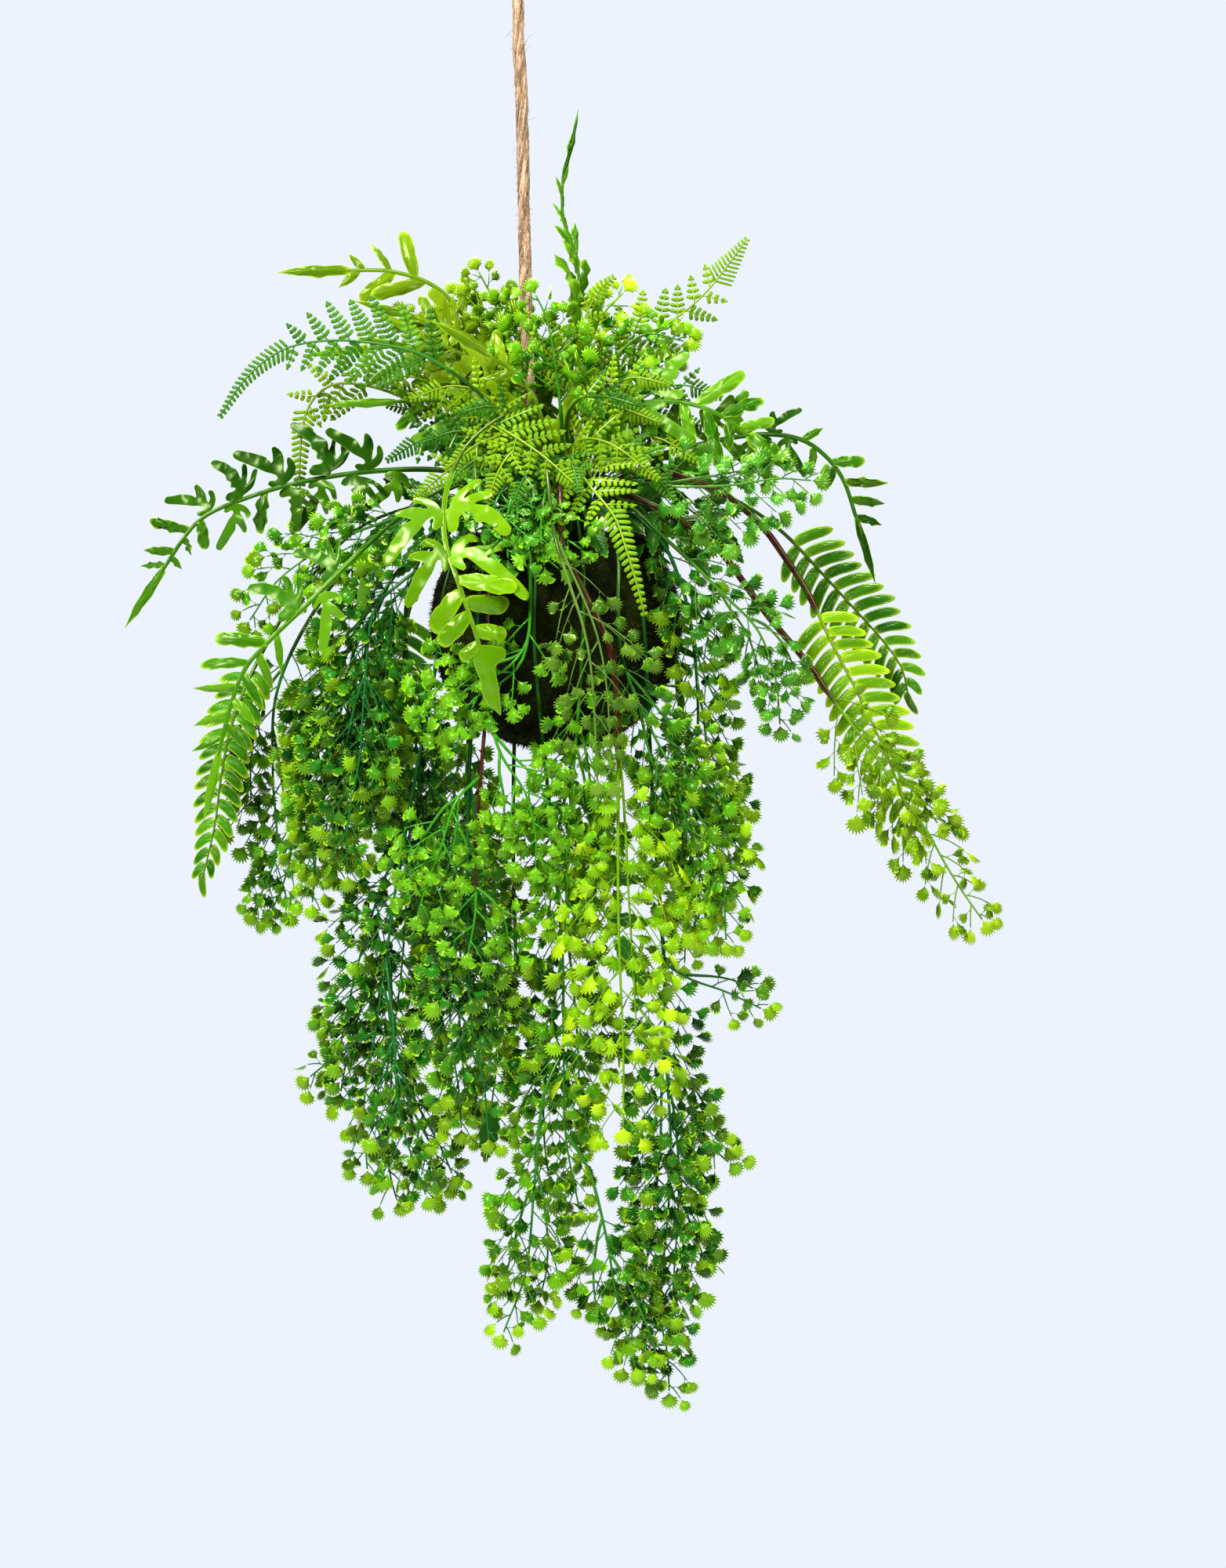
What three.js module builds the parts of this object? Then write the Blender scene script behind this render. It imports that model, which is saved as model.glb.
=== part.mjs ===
// Kokedama moss ball plant: a ball of soil in a skin of moss, hung on a jute rope, with fern sprays
// that spring from its top and trail below it. Millimetres, +Z up, the front faces -Y.
// Everything is laid out round the ball's centre, then moved so that the hook point is the origin.
import * as THREE from 'three';

const V = (x, y, z) => new THREE.Vector3(x, y, z);

// Ball
const ballRadius = 75;
const skinInnerRadius = 67.3;
const coreRadius = 66.9;
const mouthRadius = 50;
const coreMouthRadius = 49.6;
const rimTopZ = 56.5;
const rimOuterRadius = 54;
const soilTopZ = 52;
const flatSpotRadius = 25;
const holeDepth = 12;
const ballSides = 24;
const ballInnerSteps = 7;
const ballOuterSteps = 8;
const holeClearance = 0.4;

// Rope, knot and loop
const ropeRadius = 4.2;
const ropeFootX = -14;
const ropeTopX = -23.3;
const ropeTopZ = 386;
const knotRadius = 9.5;
const knotBottomZ = 380;
const knotTopZ = 399;
const socketDepth = 4;
const loopTubeRadius = 2.8;
const loopHalfGap = 4;
const loopHalfWidth = 13;
const loopTopZ = 432;
const hookZ = loopTopZ - loopTubeRadius;

// Stems and blades
const stemHalf = 1.15;
const stemTipHalf = 0.6;
const bladeHalf = 0.38;
const stemRise = 8;
const stemStep = 60;
const stemTurn = 20;
const pairReach = 8;
const clearance = 2.7;
const sampleStep = 1.7;
const ballKeepOff = 78.2;
const ropeKeepOff = 7.2;

// Leaf outlines from the stalk to the tip and back, u along the leaf and v across it
const fanOutline = [[0.58, -0.5], [0.68, -0.17], [1, -0.04], [0.7, 0.17], [0.64, 0.5]];
const lobeOutline = [[0.32, -0.42], [0.78, -0.5], [1, 0.02], [0.72, 0.4], [0.34, 0.5]];
const antlerOutline = [
  [0.34, -0.2], [0.72, -0.5], [0.64, -0.14], [1, 0.02], [0.62, 0.14], [0.78, 0.5], [0.34, 0.22],
];
const pinnaOutline = [[0.3, -0.5], [1, -0.06], [0.5, 0.5]];
const combOutline = [
  [0.26, -0.5], [0.42, -0.16], [0.64, -0.44], [1, 0], [0.6, 0.42], [0.4, 0.16], [0.28, 0.5],
];
const rueOutline = [[0.4, -0.5], [0.58, -0.18], [1, 0], [0.58, 0.18], [0.44, 0.5]];
const hollyOutline = [
  [0.3, -0.5], [0.46, -0.32], [0.7, -0.42], [1, 0.02], [0.68, 0.42], [0.44, 0.32], [0.28, 0.5],
];

// What each kind of fern carries: leaf pitch along one side, leaf length and width, angle to the rib
const kinds = {
  lobed: {
    outline: lobeOutline, pitch: 29, length: 32, width: 14, angle: 58, base: 6, opposite: false,
    tipLength: 38, tipWidth: 14, droop: 0.16, antler: true,
  },
  lace: {
    outline: combOutline, pitch: 34, length: 34, width: 20, angle: 56, base: 1.8, opposite: false,
    tipLength: 34, tipWidth: 16, droop: 0.12, antler: false,
  },
  sword: {
    outline: pinnaOutline, pitch: 19, length: 28, width: 12.5, angle: 68, base: 2.4, opposite: true,
    tipLength: 20, tipWidth: 8, droop: 0.18, antler: false,
  },
  maidenhair: {
    outline: fanOutline, pitch: 42, length: 32, width: 27, angle: 52, base: 1.6, opposite: false,
    tipLength: 28, tipWidth: 22, droop: 0.14, antler: false,
  },
  rue: {
    outline: rueOutline, pitch: 26, length: 20, width: 16, angle: 50, base: 1.6, opposite: false,
    tipLength: 17, tipWidth: 14, droop: 0.1, antler: false,
  },
  holly: {
    outline: hollyOutline, pitch: 34, length: 38, width: 16, angle: 60, base: 2.2, opposite: false,
    tipLength: 38, tipWidth: 15, droop: 0.14, antler: false,
  },
};

// Fern sprays: root is where the stem stands in the soil, route is what its rib follows, leafed is how
// much of the route's end carries leaves. stem is half the width of a stem that is stouter than most. A
// fork leaves the route beside the given point of it.
const fronds = [
  { name: 'lobed_front', kind: 'lobed', tint: 'lime', root: [-4.5, -7.8], leafed: 215,
    route: [[-6, -14, 100], [-20, -34, 126], [-48, -66, 108], [-62, -90, 80], [-64, -104, 50], [-57, -112, 26],
      [-48, -115, 0], [-42, -113, -20], [-36, -108, -46]] },
  { name: 'lace_front', kind: 'lace', tint: 'lime', root: [0, -18], leafed: 120,
    route: [[4, -26, 96], [10, -48, 95], [20, -76, 80], [35, -96, 60], [42, -104, 40], [48, -107, 20],
      [52, -107, 8]] },
  { name: 'maidenhair_front_lime', kind: 'maidenhair', tint: 'lime', root: [2.3, -25.9], leafed: 190, stem: 2,
    route: [[2, -50, 84], [3, -78, 72], [5, -96, 42], [18, -101, 15], [32, -99, -15], [36, -96, -45],
      [37, -94, -75], [37, -92, -113], [37, -92, -160], [38, -92, -200], [40, -92, -250], [40, -90, -294]] },
  { name: 'maidenhair_grey', kind: 'maidenhair', tint: 'grey', root: [-9, -15.6], leafed: 130,
    route: [[-8, -40, 98], [-5, -76, 88], [0, -105, 50], [9, -112, 20], [17, -113, -5], [22, -112, -35],
      [25, -110, -92]] },
  { name: 'maidenhair_right_front', kind: 'maidenhair', tint: 'mid', root: [14.4, -30.8], leafed: 190,
    route: [[22, -46, 72], [30, -64, 64], [37, -82, 38], [37, -88, 10], [39, -88, -20], [50, -86, -50],
      [65, -85, -80], [85, -84, -115], [97, -84, -140], [100, -84, -186]] },
  { name: 'maidenhair_lowest', kind: 'maidenhair', tint: 'deep', root: [22.3, -35.6], leafed: 190,
    route: [[29, -46, 66], [39, -60, 54], [48, -70, 25], [52, -71, 0], [55, -68, -60], [59, -64, -130],
      [64, -62, -200], [65, -60, -250], [68, -60, -320], [62, -60, -400], [66, -60, -430], [67, -60, -452]],
    forks: [
      { at: 6, route: [[80, -62, -210], [100, -62, -217], [121, -62, -227]], leafed: 60 },
      { at: 7, route: [[76, -56, -274], [86, -54, -302], [102, -52, -318]], leafed: 60 },
      { at: 8, route: [[76, -60, -344], [88, -60, -375]], leafed: 44 },
    ] },
  { name: 'maidenhair_bottom_mid', kind: 'maidenhair', tint: 'mid', root: [-5.1, -41.7], leafed: 120,
    route: [[-7, -56, 66], [-9, -72, 54], [-11, -84, 25], [-12, -86, -10], [-8, -82, -60], [-2, -74, -120],
      [4, -68, -190], [5, -66, -250], [6, -64, -300], [14, -64, -344]],
    forks: [
      { at: 8, route: [[20, -70, -322], [30, -72, -360], [36, -72, -395], [47, -72, -436]], leafed: 100 },
      { at: 7, route: [[-7, -72, -280], [-12, -74, -330], [-17, -74, -380], [-30, -74, -416]], leafed: 110 },
    ] },
  { name: 'maidenhair_centre_left', kind: 'maidenhair', tint: 'deep', root: [-19.7, -37.1], leafed: 110,
    route: [[-26, -48, 66], [-34, -62, 56], [-43, -72, 25], [-46, -75, -10], [-49, -74, -60], [-51, -72, -120],
      [-51, -72, -180], [-49, -72, -235], [-42, -72, -268], [-39, -72, -302]] },
  { name: 'maidenhair_left_main', kind: 'maidenhair', tint: 'mid', root: [-26, -21.9], leafed: 160,
    route: [[-39, -34, 78], [-57, -50, 62], [-74, -60, 36], [-90, -63, 24], [-107, -63, 5], [-112, -63, -40],
      [-115, -64, -80], [-122, -64, -120], [-122, -64, -148]] },
  { name: 'maidenhair_left_second', kind: 'maidenhair', tint: 'deep', root: [-38, -17.7], leafed: 160,
    route: [[-50, -26, 66], [-68, -36, 58], [-86, -42, 40], [-101, -44, 20], [-120, -44, -8], [-129, -42, -40],
      [-134, -40, -84], [-141, -40, -130], [-144, -40, -165]] },
  { name: 'maidenhair_left_long', kind: 'maidenhair', tint: 'deep', root: [-30.7, -28.6], leafed: 120,
    route: [[-39, -38, 66], [-52, -50, 56], [-65, -60, 20], [-71, -62, -30], [-82, -60, -90], [-93, -56, -150],
      [-100, -54, -200], [-106, -52, -240], [-113, -52, -285], [-111, -52, -322]],
    forks: [
      { at: 6, route: [[-95, -62, -240], [-91, -66, -290], [-76, -66, -336]], leafed: 90 },
      { at: 7, route: [[-125, -46, -252], [-145, -42, -268]], leafed: 34 },
    ] },
  { name: 'maidenhair_left_inner', kind: 'maidenhair', tint: 'deep', root: [-41.5, -5], leafed: 150,
    route: [[-54, -12, 65], [-74, -22, 52], [-89, -29, 10], [-85, -31, -50], [-79, -31, -110], [-73, -31, -160],
      [-71, -31, -205]] },
  { name: 'maidenhair_mid_front', kind: 'maidenhair', tint: 'mid', root: [8.7, -41], leafed: 130,
    route: [[11, -54, 66], [14, -71, 54], [17, -84, 25], [16, -87, -20], [12, -87, -75], [8, -89, -120],
      [6, -90, -180]] },
  { name: 'maidenhair_left_outer', kind: 'maidenhair', tint: 'mid', root: [-34, 1.2], leafed: 160,
    route: [[-50, -2, 74], [-78, -8, 70], [-115, -13, 46], [-148, -15, 2], [-167, -15, -42], [-169, -15, -90],
      [-167, -15, -135], [-180, -15, -170]] },
  { name: 'maidenhair_left_arch', kind: 'maidenhair', tint: 'mid', root: [-25, -6.7], leafed: 120,
    route: [[-44, -20, 84], [-68, -32, 78], [-92, -38, 64], [-130, -40, 49], [-163, -40, 27], [-181, -40, 2]] },
  { name: 'maidenhair_right_long', kind: 'maidenhair', tint: 'lime', root: [26.8, -20.9], leafed: 160, stem: 2,
    route: [[38, -30, 76], [58, -40, 70], [80, -45, 57], [97, -47, 43], [125, -48, 5], [150, -48, -25],
      [162, -48, -43], [176, -48, -61], [190, -48, -80], [205, -48, -103], [219, -48, -122], [229, -48, -140],
      [240, -48, -158], [252, -48, -175]] },
  { name: 'maidenhair_right_upper', kind: 'maidenhair', tint: 'mid', root: [18.4, -18.4], leafed: 100,
    route: [[28, -31, 84], [48, -50, 83], [70, -62, 80], [100, -68, 80], [130, -70, 84], [150, -70, 83]] },
  { name: 'maidenhair_right_cluster', kind: 'maidenhair', tint: 'mid', root: [20.9, -26.8], leafed: 115,
    route: [[30, -40, 76], [46, -56, 67], [64, -64, 50], [80, -68, 35], [100, -70, 15], [119, -70, -5],
      [129, -70, -32], [132, -68, -60]] },
  { name: 'maidenhair_right_second', kind: 'maidenhair', tint: 'deep', root: [33, -25.9], leafed: 85,
    route: [[42, -33, 66], [55, -41, 57], [69, -45, 38], [79, -47, 5], [86, -47, -26], [94, -47, -44]] },
  { name: 'sword_right_pale', kind: 'sword', tint: 'lime', root: [23.6, -11], leafed: 150, stem: 2,
    route: [[34, -17, 84], [55, -22, 92], [75, -25, 88], [100, -27, 77], [121, -28, 60], [136, -28, 40],
      [149, -28, 20], [165, -28, -13], [180, -28, -42], [195, -28, -74], [206, -28, -102], [214, -28, -128]] },
  { name: 'sword_right_dark', kind: 'sword', tint: 'deep', root: [24.7, 8], leafed: 120,
    route: [[36, 12, 84], [60, 16, 88], [85, 18, 85], [110, 18, 75], [136, 18, 57], [160, 18, 32],
      [180, 18, 10], [197, 18, -9], [208, 18, -25], [212, 18, -42]] },
  { name: 'sword_left', kind: 'sword', tint: 'deep', root: [-32.8, 8.8], leafed: 130,
    route: [[-50, 9, 76], [-80, 6, 73], [-120, -4, 57], [-156, -18, 15], [-180, -30, -28], [-192, -36, -60],
      [-198, -38, -90], [-202, -38, -120], [-209, -38, -150]] },
  { name: 'lobed_left_low', kind: 'lobed', tint: 'mid', root: [-21.3, -14.9], leafed: 150,
    route: [[-40, -38, 86], [-66, -56, 79], [-92, -68, 61], [-115, -74, 40], [-140, -76, 15], [-164, -76, -8],
      [-181, -76, -27], [-190, -76, -50], [-197, -76, -78]] },
  { name: 'lobed_left_long', kind: 'lobed', tint: 'deep', root: [-25.9, 2.3], leafed: 190,
    route: [[-34, 2, 78], [-48, -1, 88], [-72, -6, 93], [-110, -8, 92], [-150, -9, 86], [-185, -9, 76],
      [-214, -9, 62], [-236, -9, 32]] },
  { name: 'lobed_top_left', kind: 'lobed', tint: 'lime', root: [-5, 11], leafed: 110,
    route: [[-8, 13, 90], [-21, 14, 130], [-40, 12, 165], [-68, 7, 200], [-96, 3, 212], [-126, 0, 213]] },
  { name: 'lobed_top_tall', kind: 'lobed', tint: 'mid', root: [9, 0], leafed: 110, face: [0.75, -0.65, 0],
    route: [[9, 0, 100], [9, 0, 150], [14, -2, 196], [11, -2, 222], [4, -2, 246], [4, -2, 272]] },
  { name: 'lobed_right_upper', kind: 'lobed', tint: 'mid', root: [15.6, -9], leafed: 110,
    route: [[17, -14, 95], [25, -24, 120], [52, -33, 131], [75, -38, 131], [96, -42, 124], [116, -44, 110]] },
  { name: 'lobed_right_long', kind: 'lobed', tint: 'deep', root: [25.9, -2.3], leafed: 170,
    route: [[33, -3, 82], [46, -5, 97], [70, -8, 104], [100, -10, 111], [125, -10, 114], [146, -10, 111],
      [161, -10, 101], [172, -10, 86], [180, -10, 62]] },
  { name: 'lobed_upper_left_back', kind: 'lobed', tint: 'mid', root: [-10.3, 14.7], leafed: 80,
    route: [[-15, 26, 100], [-32, 40, 140], [-60, 48, 162], [-90, 50, 171], [-116, 50, 170]] },
  { name: 'lace_left_top', kind: 'lace', tint: 'lime', root: [-15.6, -9], leafed: 160,
    route: [[-20, -14, 95], [-38, -22, 130], [-75, -27, 158], [-110, -30, 167], [-140, -30, 168],
      [-164, -30, 162], [-184, -30, 146]] },
  { name: 'lace_left_droop', kind: 'lace', tint: 'mid', root: [-22.5, 13], leafed: 120,
    route: [[-30, 15, 85], [-50, 14, 112], [-80, 10, 132], [-112, 6, 144], [-136, 4, 144], [-150, 2, 128],
      [-154, 2, 98]] },
  { name: 'lace_right_top', kind: 'lace', tint: 'lime', root: [6.9, 9.8], leafed: 100,
    route: [[6, 12, 95], [9, 13, 124], [22, 13, 150], [45, 13, 171], [70, 11, 184], [92, 9, 203]] },
  { name: 'lace_right_mid', kind: 'lace', tint: 'deep', root: [9, -15.6], leafed: 55,
    route: [[9, -21, 95], [6, -32, 118], [13, -44, 132], [30, -56, 133], [50, -64, 127]] },
  { name: 'lace_left_mid', kind: 'lace', tint: 'mid', root: [-16.7, 19.9], leafed: 75,
    route: [[-24, 24, 85], [-36, 28, 108], [-54, 30, 122], [-78, 30, 130], [-102, 30, 134]] },
  { name: 'maidenhair_top_left', kind: 'maidenhair', tint: 'deep', root: [4.7, 17.4], leafed: 95,
    route: [[-2, 22, 95], [-16, 25, 125], [-28, 26, 160], [-36, 25, 192], [-47, 22, 214]],
    forks: [{ at: 1, route: [[-40, 30, 158], [-62, 33, 177]], leafed: 44 }] },
  { name: 'maidenhair_top_mid', kind: 'maidenhair', tint: 'mid', root: [4.5, -7.8], leafed: 70,
    route: [[4, -12, 95], [3, -18, 125], [0, -22, 152], [-5, -23, 180], [-12, -23, 196]] },
  { name: 'maidenhair_top_right', kind: 'maidenhair', tint: 'lime', root: [11.6, 13.8], leafed: 75,
    route: [[12, 20, 95], [12, 26, 130], [15, 28, 156], [26, 28, 186], [40, 27, 202]] },
  { name: 'maidenhair_top_dark', kind: 'maidenhair', tint: 'deep', root: [18, 0], leafed: 80,
    route: [[17, -4, 100], [19, -9, 130], [32, -14, 155], [52, -17, 173], [76, -19, 169]] },
  { name: 'rue_front', kind: 'rue', tint: 'mid', root: [-14.4, -30.8], leafed: 40,
    route: [[-22, -47, 76], [-30, -66, 66], [-38, -84, 38], [-39, -90, 0], [-40, -92, -50], [-43, -94, -90],
      [-46, -94, -130], [-46, -94, -168], [-50, -92, -192]],
    forks: [
      { at: 4, route: [[-31, -99, -78], [-17, -102, -100], [-11, -102, -124], [-11, -100, -142]], leafed: 75 },
      { at: 5, route: [[-57, -100, -105], [-66, -102, -132], [-75, -102, -156], [-79, -100, -170]],
        leafed: 75 },
    ] },
  { name: 'rue_over_ball', kind: 'rue', tint: 'mid', root: [-6.7, -25.1], leafed: 95,
    route: [[-10, -48, 86], [-12, -76, 76], [-14, -96, 45], [-14, -99, 12], [-16, -99, -12], [-28, -99, -28],
      [-47, -98, -37], [-60, -96, -50], [-70, -94, -64]] },
  { name: 'rue_small', kind: 'rue', tint: 'deep', root: [-14.9, -21.3], leafed: 50,
    route: [[-18, -45, 87], [-24, -74, 78], [-28, -94, 56], [-27, -99, 36]] },
  { name: 'holly_centre', kind: 'holly', tint: 'deep', root: [8.8, 32.8], leafed: 120,
    route: [[13, 50, 76], [17, 68, 66], [20, 86, 30], [20, 90, -20], [12, 84, -66], [4, 68, -105],
      [10, 60, -137], [24, 58, -165], [38, 56, -190]] },
  { name: 'holly_low', kind: 'holly', tint: 'deep', root: [-5.9, 33.5], leafed: 100,
    route: [[-10, 52, 76], [-14, 70, 66], [-20, 88, 30], [-24, 92, -20], [-27, 84, -80], [-27, 74, -150],
      [-26, 68, -205], [-34, 64, -245], [-40, 62, -290]] },
  { name: 'lobed_back', kind: 'lobed', tint: 'mid', root: [13, 22.5], leafed: 130,
    route: [[20, 38, 88], [32, 60, 92], [48, 86, 82], [62, 104, 52], [70, 114, 14], [74, 118, -20]] },
  { name: 'lace_back', kind: 'lace', tint: 'lime', root: [-2.3, 25.9], leafed: 110,
    route: [[-4, 44, 92], [-8, 68, 104], [-14, 94, 104], [-19, 114, 86], [-22, 124, 56]] },
  { name: 'sword_back', kind: 'sword', tint: 'deep', root: [-26, 21.9], leafed: 110,
    route: [[-38, 34, 78], [-58, 54, 70], [-82, 74, 40], [-96, 86, -10], [-102, 92, -60], [-104, 94, -100]] },
  { name: 'maidenhair_back_right', kind: 'maidenhair', tint: 'mid', root: [26, 21.9], leafed: 130,
    route: [[38, 34, 78], [56, 52, 68], [78, 70, 20], [86, 78, -40], [84, 80, -100], [80, 80, -160],
      [78, 80, -205]] },
  { name: 'maidenhair_back_left', kind: 'maidenhair', tint: 'mid', root: [-21, 36.4], leafed: 130,
    route: [[-27, 48, 66], [-37, 62, 54], [-50, 74, 0], [-56, 76, -90], [-59, 74, -180], [-60, 72, -240],
      [-56, 72, -290]] },
];

const tints = { lime: 0x8fb82a, mid: 0x3f8a34, deep: 0x23602c, grey: 0x6f8f4e };
const finishes = {
  moss: new THREE.MeshStandardMaterial({ color: 0x2c3316, roughness: 1 }),
  soil: new THREE.MeshStandardMaterial({ color: 0x33261b, roughness: 1 }),
  jute: new THREE.MeshStandardMaterial({ color: 0xb9905f, roughness: 0.9 }),
};
for (const tint of Object.keys(tints)) {
  finishes[tint] = new THREE.MeshStandardMaterial({ color: tints[tint], roughness: 0.5 });
}

const plant = new THREE.Group();
plant.name = 'kokedama_moss_ball_plant';

function addMesh(name, geometry, material) {
  const mesh = new THREE.Mesh(geometry, material);
  mesh.name = name;
  mesh.position.set(-ropeTopX, 0, -hookZ);
  plant.add(mesh);
}

function meshOf(points, triangles) {
  const geometry = new THREE.BufferGeometry();
  const numbers = points.flatMap((p) => [p.x, p.y, p.z]);
  geometry.setAttribute('position', new THREE.Float32BufferAttribute(numbers, 3));
  geometry.setIndex(triangles.flat());
  return geometry;
}

// Positive where three points in a plane turn to the left.
function turnOf(a, b, c) {
  return (b.x - a.x) * (c.y - a.y) - (b.y - a.y) * (c.x - a.x);
}

// A flat ring of points round a centre, at height z.
function ringPoints(x, y, z, radius, sides, turn = 0) {
  return Array.from({ length: sides }, (_, i) => {
    const a = turn + (i * 2 * Math.PI) / sides;
    return V(x + radius * Math.cos(a), y + radius * Math.sin(a), z);
  });
}

// A solid turned about a vertical line from a profile of [radius, z] that runs upward outside, with
// its flat top and bottom closed and pierced by blind holes.
function turned(profile, sides, cx, topHoles, bottomHoles) {
  const points = [];
  const triangles = [];
  const add = (p) => points.push(p) - 1;
  const rings = profile.map(([r, z]) => ringPoints(cx, 0, z, r, sides).map(add));
  for (let k = 0; k + 1 < rings.length; k += 1) {
    const [low, high] = [rings[k], rings[k + 1]];
    for (let i = 0; i < sides; i += 1) {
      const j = (i + 1) % sides;
      triangles.push([low[i], low[j], high[j]], [low[i], high[j], high[i]]);
    }
  }
  const cap = (ring, holes, up) => {
    const ids = [...ring];
    const loops = holes.map((hole) => {
      const mouth = ringPoints(hole.x, hole.y, points[ring[0]].z, hole.radius, hole.sides, hole.turn).map(add);
      const floor = ringPoints(hole.x, hole.y, hole.floorZ, hole.radius, hole.sides, hole.turn).map(add);
      for (let i = 0; i < hole.sides; i += 1) {
        const j = (i + 1) % hole.sides;
        const walls = [[floor[j], floor[i], mouth[i]], [floor[j], mouth[i], mouth[j]]];
        walls.forEach((wall) => triangles.push(up ? wall : wall.reverse()));
      }
      for (let i = 1; i + 1 < hole.sides; i += 1) {
        triangles.push(up ? [floor[0], floor[i], floor[i + 1]] : [floor[0], floor[i + 1], floor[i]]);
      }
      ids.push(...mouth);
      return mouth;
    });
    const flat = (id) => new THREE.Vector2(points[id].x, points[id].y);
    const faces = THREE.ShapeUtils.triangulateShape(ring.map(flat), loops.map((loop) => loop.map(flat)));
    for (const [a, b, c] of faces) {
      const leftward = turnOf(flat(ids[a]), flat(ids[b]), flat(ids[c])) > 0;
      triangles.push(leftward === up ? [ids[a], ids[b], ids[c]] : [ids[a], ids[c], ids[b]]);
    }
  };
  cap(rings[rings.length - 1], topHoles, true);
  cap(rings[0], bottomHoles, false);
  return meshOf(points, triangles);
}

// Points of a ball's outline from one height to another, as [radius, z].
function ballArc(radius, fromZ, toZ, steps) {
  const from = Math.asin(fromZ / radius);
  const to = Math.asin(toZ / radius);
  return Array.from({ length: steps + 1 }, (_, i) => {
    const a = from + ((to - from) * i) / steps;
    return [radius * Math.cos(a), radius * Math.sin(a)];
  });
}

// A tube with a round section along a smooth curve.
function tube(points, radius, sides, steps) {
  const section = new THREE.Shape(ringPoints(0, 0, 0, radius, sides).map((p) => new THREE.Vector2(p.x, p.y)));
  const path = new THREE.CatmullRomCurve3(points);
  return new THREE.ExtrudeGeometry(section, { steps, bevelEnabled: false, extrudePath: path });
}

// Points already taken, in cells, so that no leaf comes too near another.
const taken = new Map();
const cellOf = (p) => [p.x, p.y, p.z].map((c) => Math.floor(c / clearance));

function take(p, owner) {
  const key = cellOf(p).join();
  if (!taken.has(key)) taken.set(key, []);
  taken.get(key).push({ p, owner });
}

function isFree(p, owner) {
  const [i, j, k] = cellOf(p);
  for (let a = i - 1; a <= i + 1; a += 1) {
    for (let b = j - 1; b <= j + 1; b += 1) {
      for (let c = k - 1; c <= k + 1; c += 1) {
        for (const other of taken.get(`${a},${b},${c}`) ?? []) {
          if (other.owner !== owner && other.p.distanceTo(p) < clearance) return false;
        }
      }
    }
  }
  return true;
}

// An open sheet of points with a normal and a half thickness each, later closed into a thin solid.
function newSheet() {
  return { at: [], normal: [], half: [], faces: [] };
}

function addPoint(sheet, at, normal, half) {
  sheet.at.push(at);
  sheet.normal.push(normal);
  sheet.half.push(half);
  return sheet.at.length - 1;
}

function closedSheet(sheet) {
  const n = sheet.at.length;
  const points = [];
  for (const way of [1, -1]) {
    for (let i = 0; i < n; i += 1) {
      points.push(sheet.at[i].clone().addScaledVector(sheet.normal[i], way * sheet.half[i]));
    }
  }
  const triangles = [];
  const edges = new Map();
  for (const [a, b, c] of sheet.faces) {
    triangles.push([a, b, c], [n + a, n + c, n + b]);
    for (const [i, j] of [[a, b], [b, c], [c, a]]) edges.set(`${i},${j}`, [i, j]);
  }
  for (const [i, j] of edges.values()) {
    if (edges.has(`${j},${i}`)) continue;
    triangles.push([j, i, n + i], [j, n + i, n + j]);
  }
  return meshOf(points, triangles);
}

// Points, directions and normals along a rib every 2 mm or so.
function ribOf(points, tipNormal, startNormal) {
  const curve = new THREE.CatmullRomCurve3(points, false, 'catmullrom', 0.5);
  curve.arcLengthDivisions = 30 * points.length;
  const length = curve.getLength();
  const count = Math.ceil(length / 2);
  const rib = { length, at: [], along: [], normal: [] };
  for (let i = 0; i <= count; i += 1) {
    rib.at.push(curve.getPointAt(i / count));
    rib.along.push(curve.getTangentAt(i / count).normalize());
  }
  const order = Array.from({ length: count + 1 }, (_, i) => (startNormal ? i : count - i));
  let normal = (startNormal ?? tipNormal).clone();
  for (const i of order) {
    normal = normal.clone().addScaledVector(rib.along[i], -normal.dot(rib.along[i])).normalize();
    rib.normal[i] = normal;
  }
  return rib;
}

function ribAt(rib, s) {
  const f = (Math.min(Math.max(s, 0), rib.length) / rib.length) * (rib.at.length - 1);
  const i = Math.min(Math.floor(f), rib.at.length - 2);
  const mix = (list) => list[i].clone().lerp(list[i + 1], f - i);
  const along = mix(rib.along).normalize();
  const normal = mix(rib.normal);
  normal.addScaledVector(along, -normal.dot(along)).normalize();
  return { at: mix(rib.at), along, normal, across: normal.clone().cross(along) };
}

// The plan of a rib: which leaves and forks stand where.
function planOf(rib, kind, leafed, forks) {
  const leaves = [];
  const gap = kind.opposite ? kind.pitch : kind.pitch / 2;
  let side = 1;
  for (let k = 1; k * gap <= leafed; k += 1) {
    const s = rib.length - k * gap;
    const sides = kind.opposite ? [1, -1] : [side];
    const grown = 0.62 + 0.38 * Math.min(1, (k * gap) / (leafed * 0.35));
    for (const way of sides) leaves.push({ s, side: way, grown, last: (k + 2) * gap > leafed });
    side = -side;
  }
  const isApart = (leaf, fork) => fork.side !== leaf.side || Math.abs(fork.s - leaf.s) > 7;
  const apart = leaves.filter((leaf) => forks.every((fork) => isApart(leaf, fork)));
  for (const fork of forks) apart.push({ s: fork.s, side: fork.side, fork });
  return apart.sort((a, b) => a.s - b.s);
}

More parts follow.
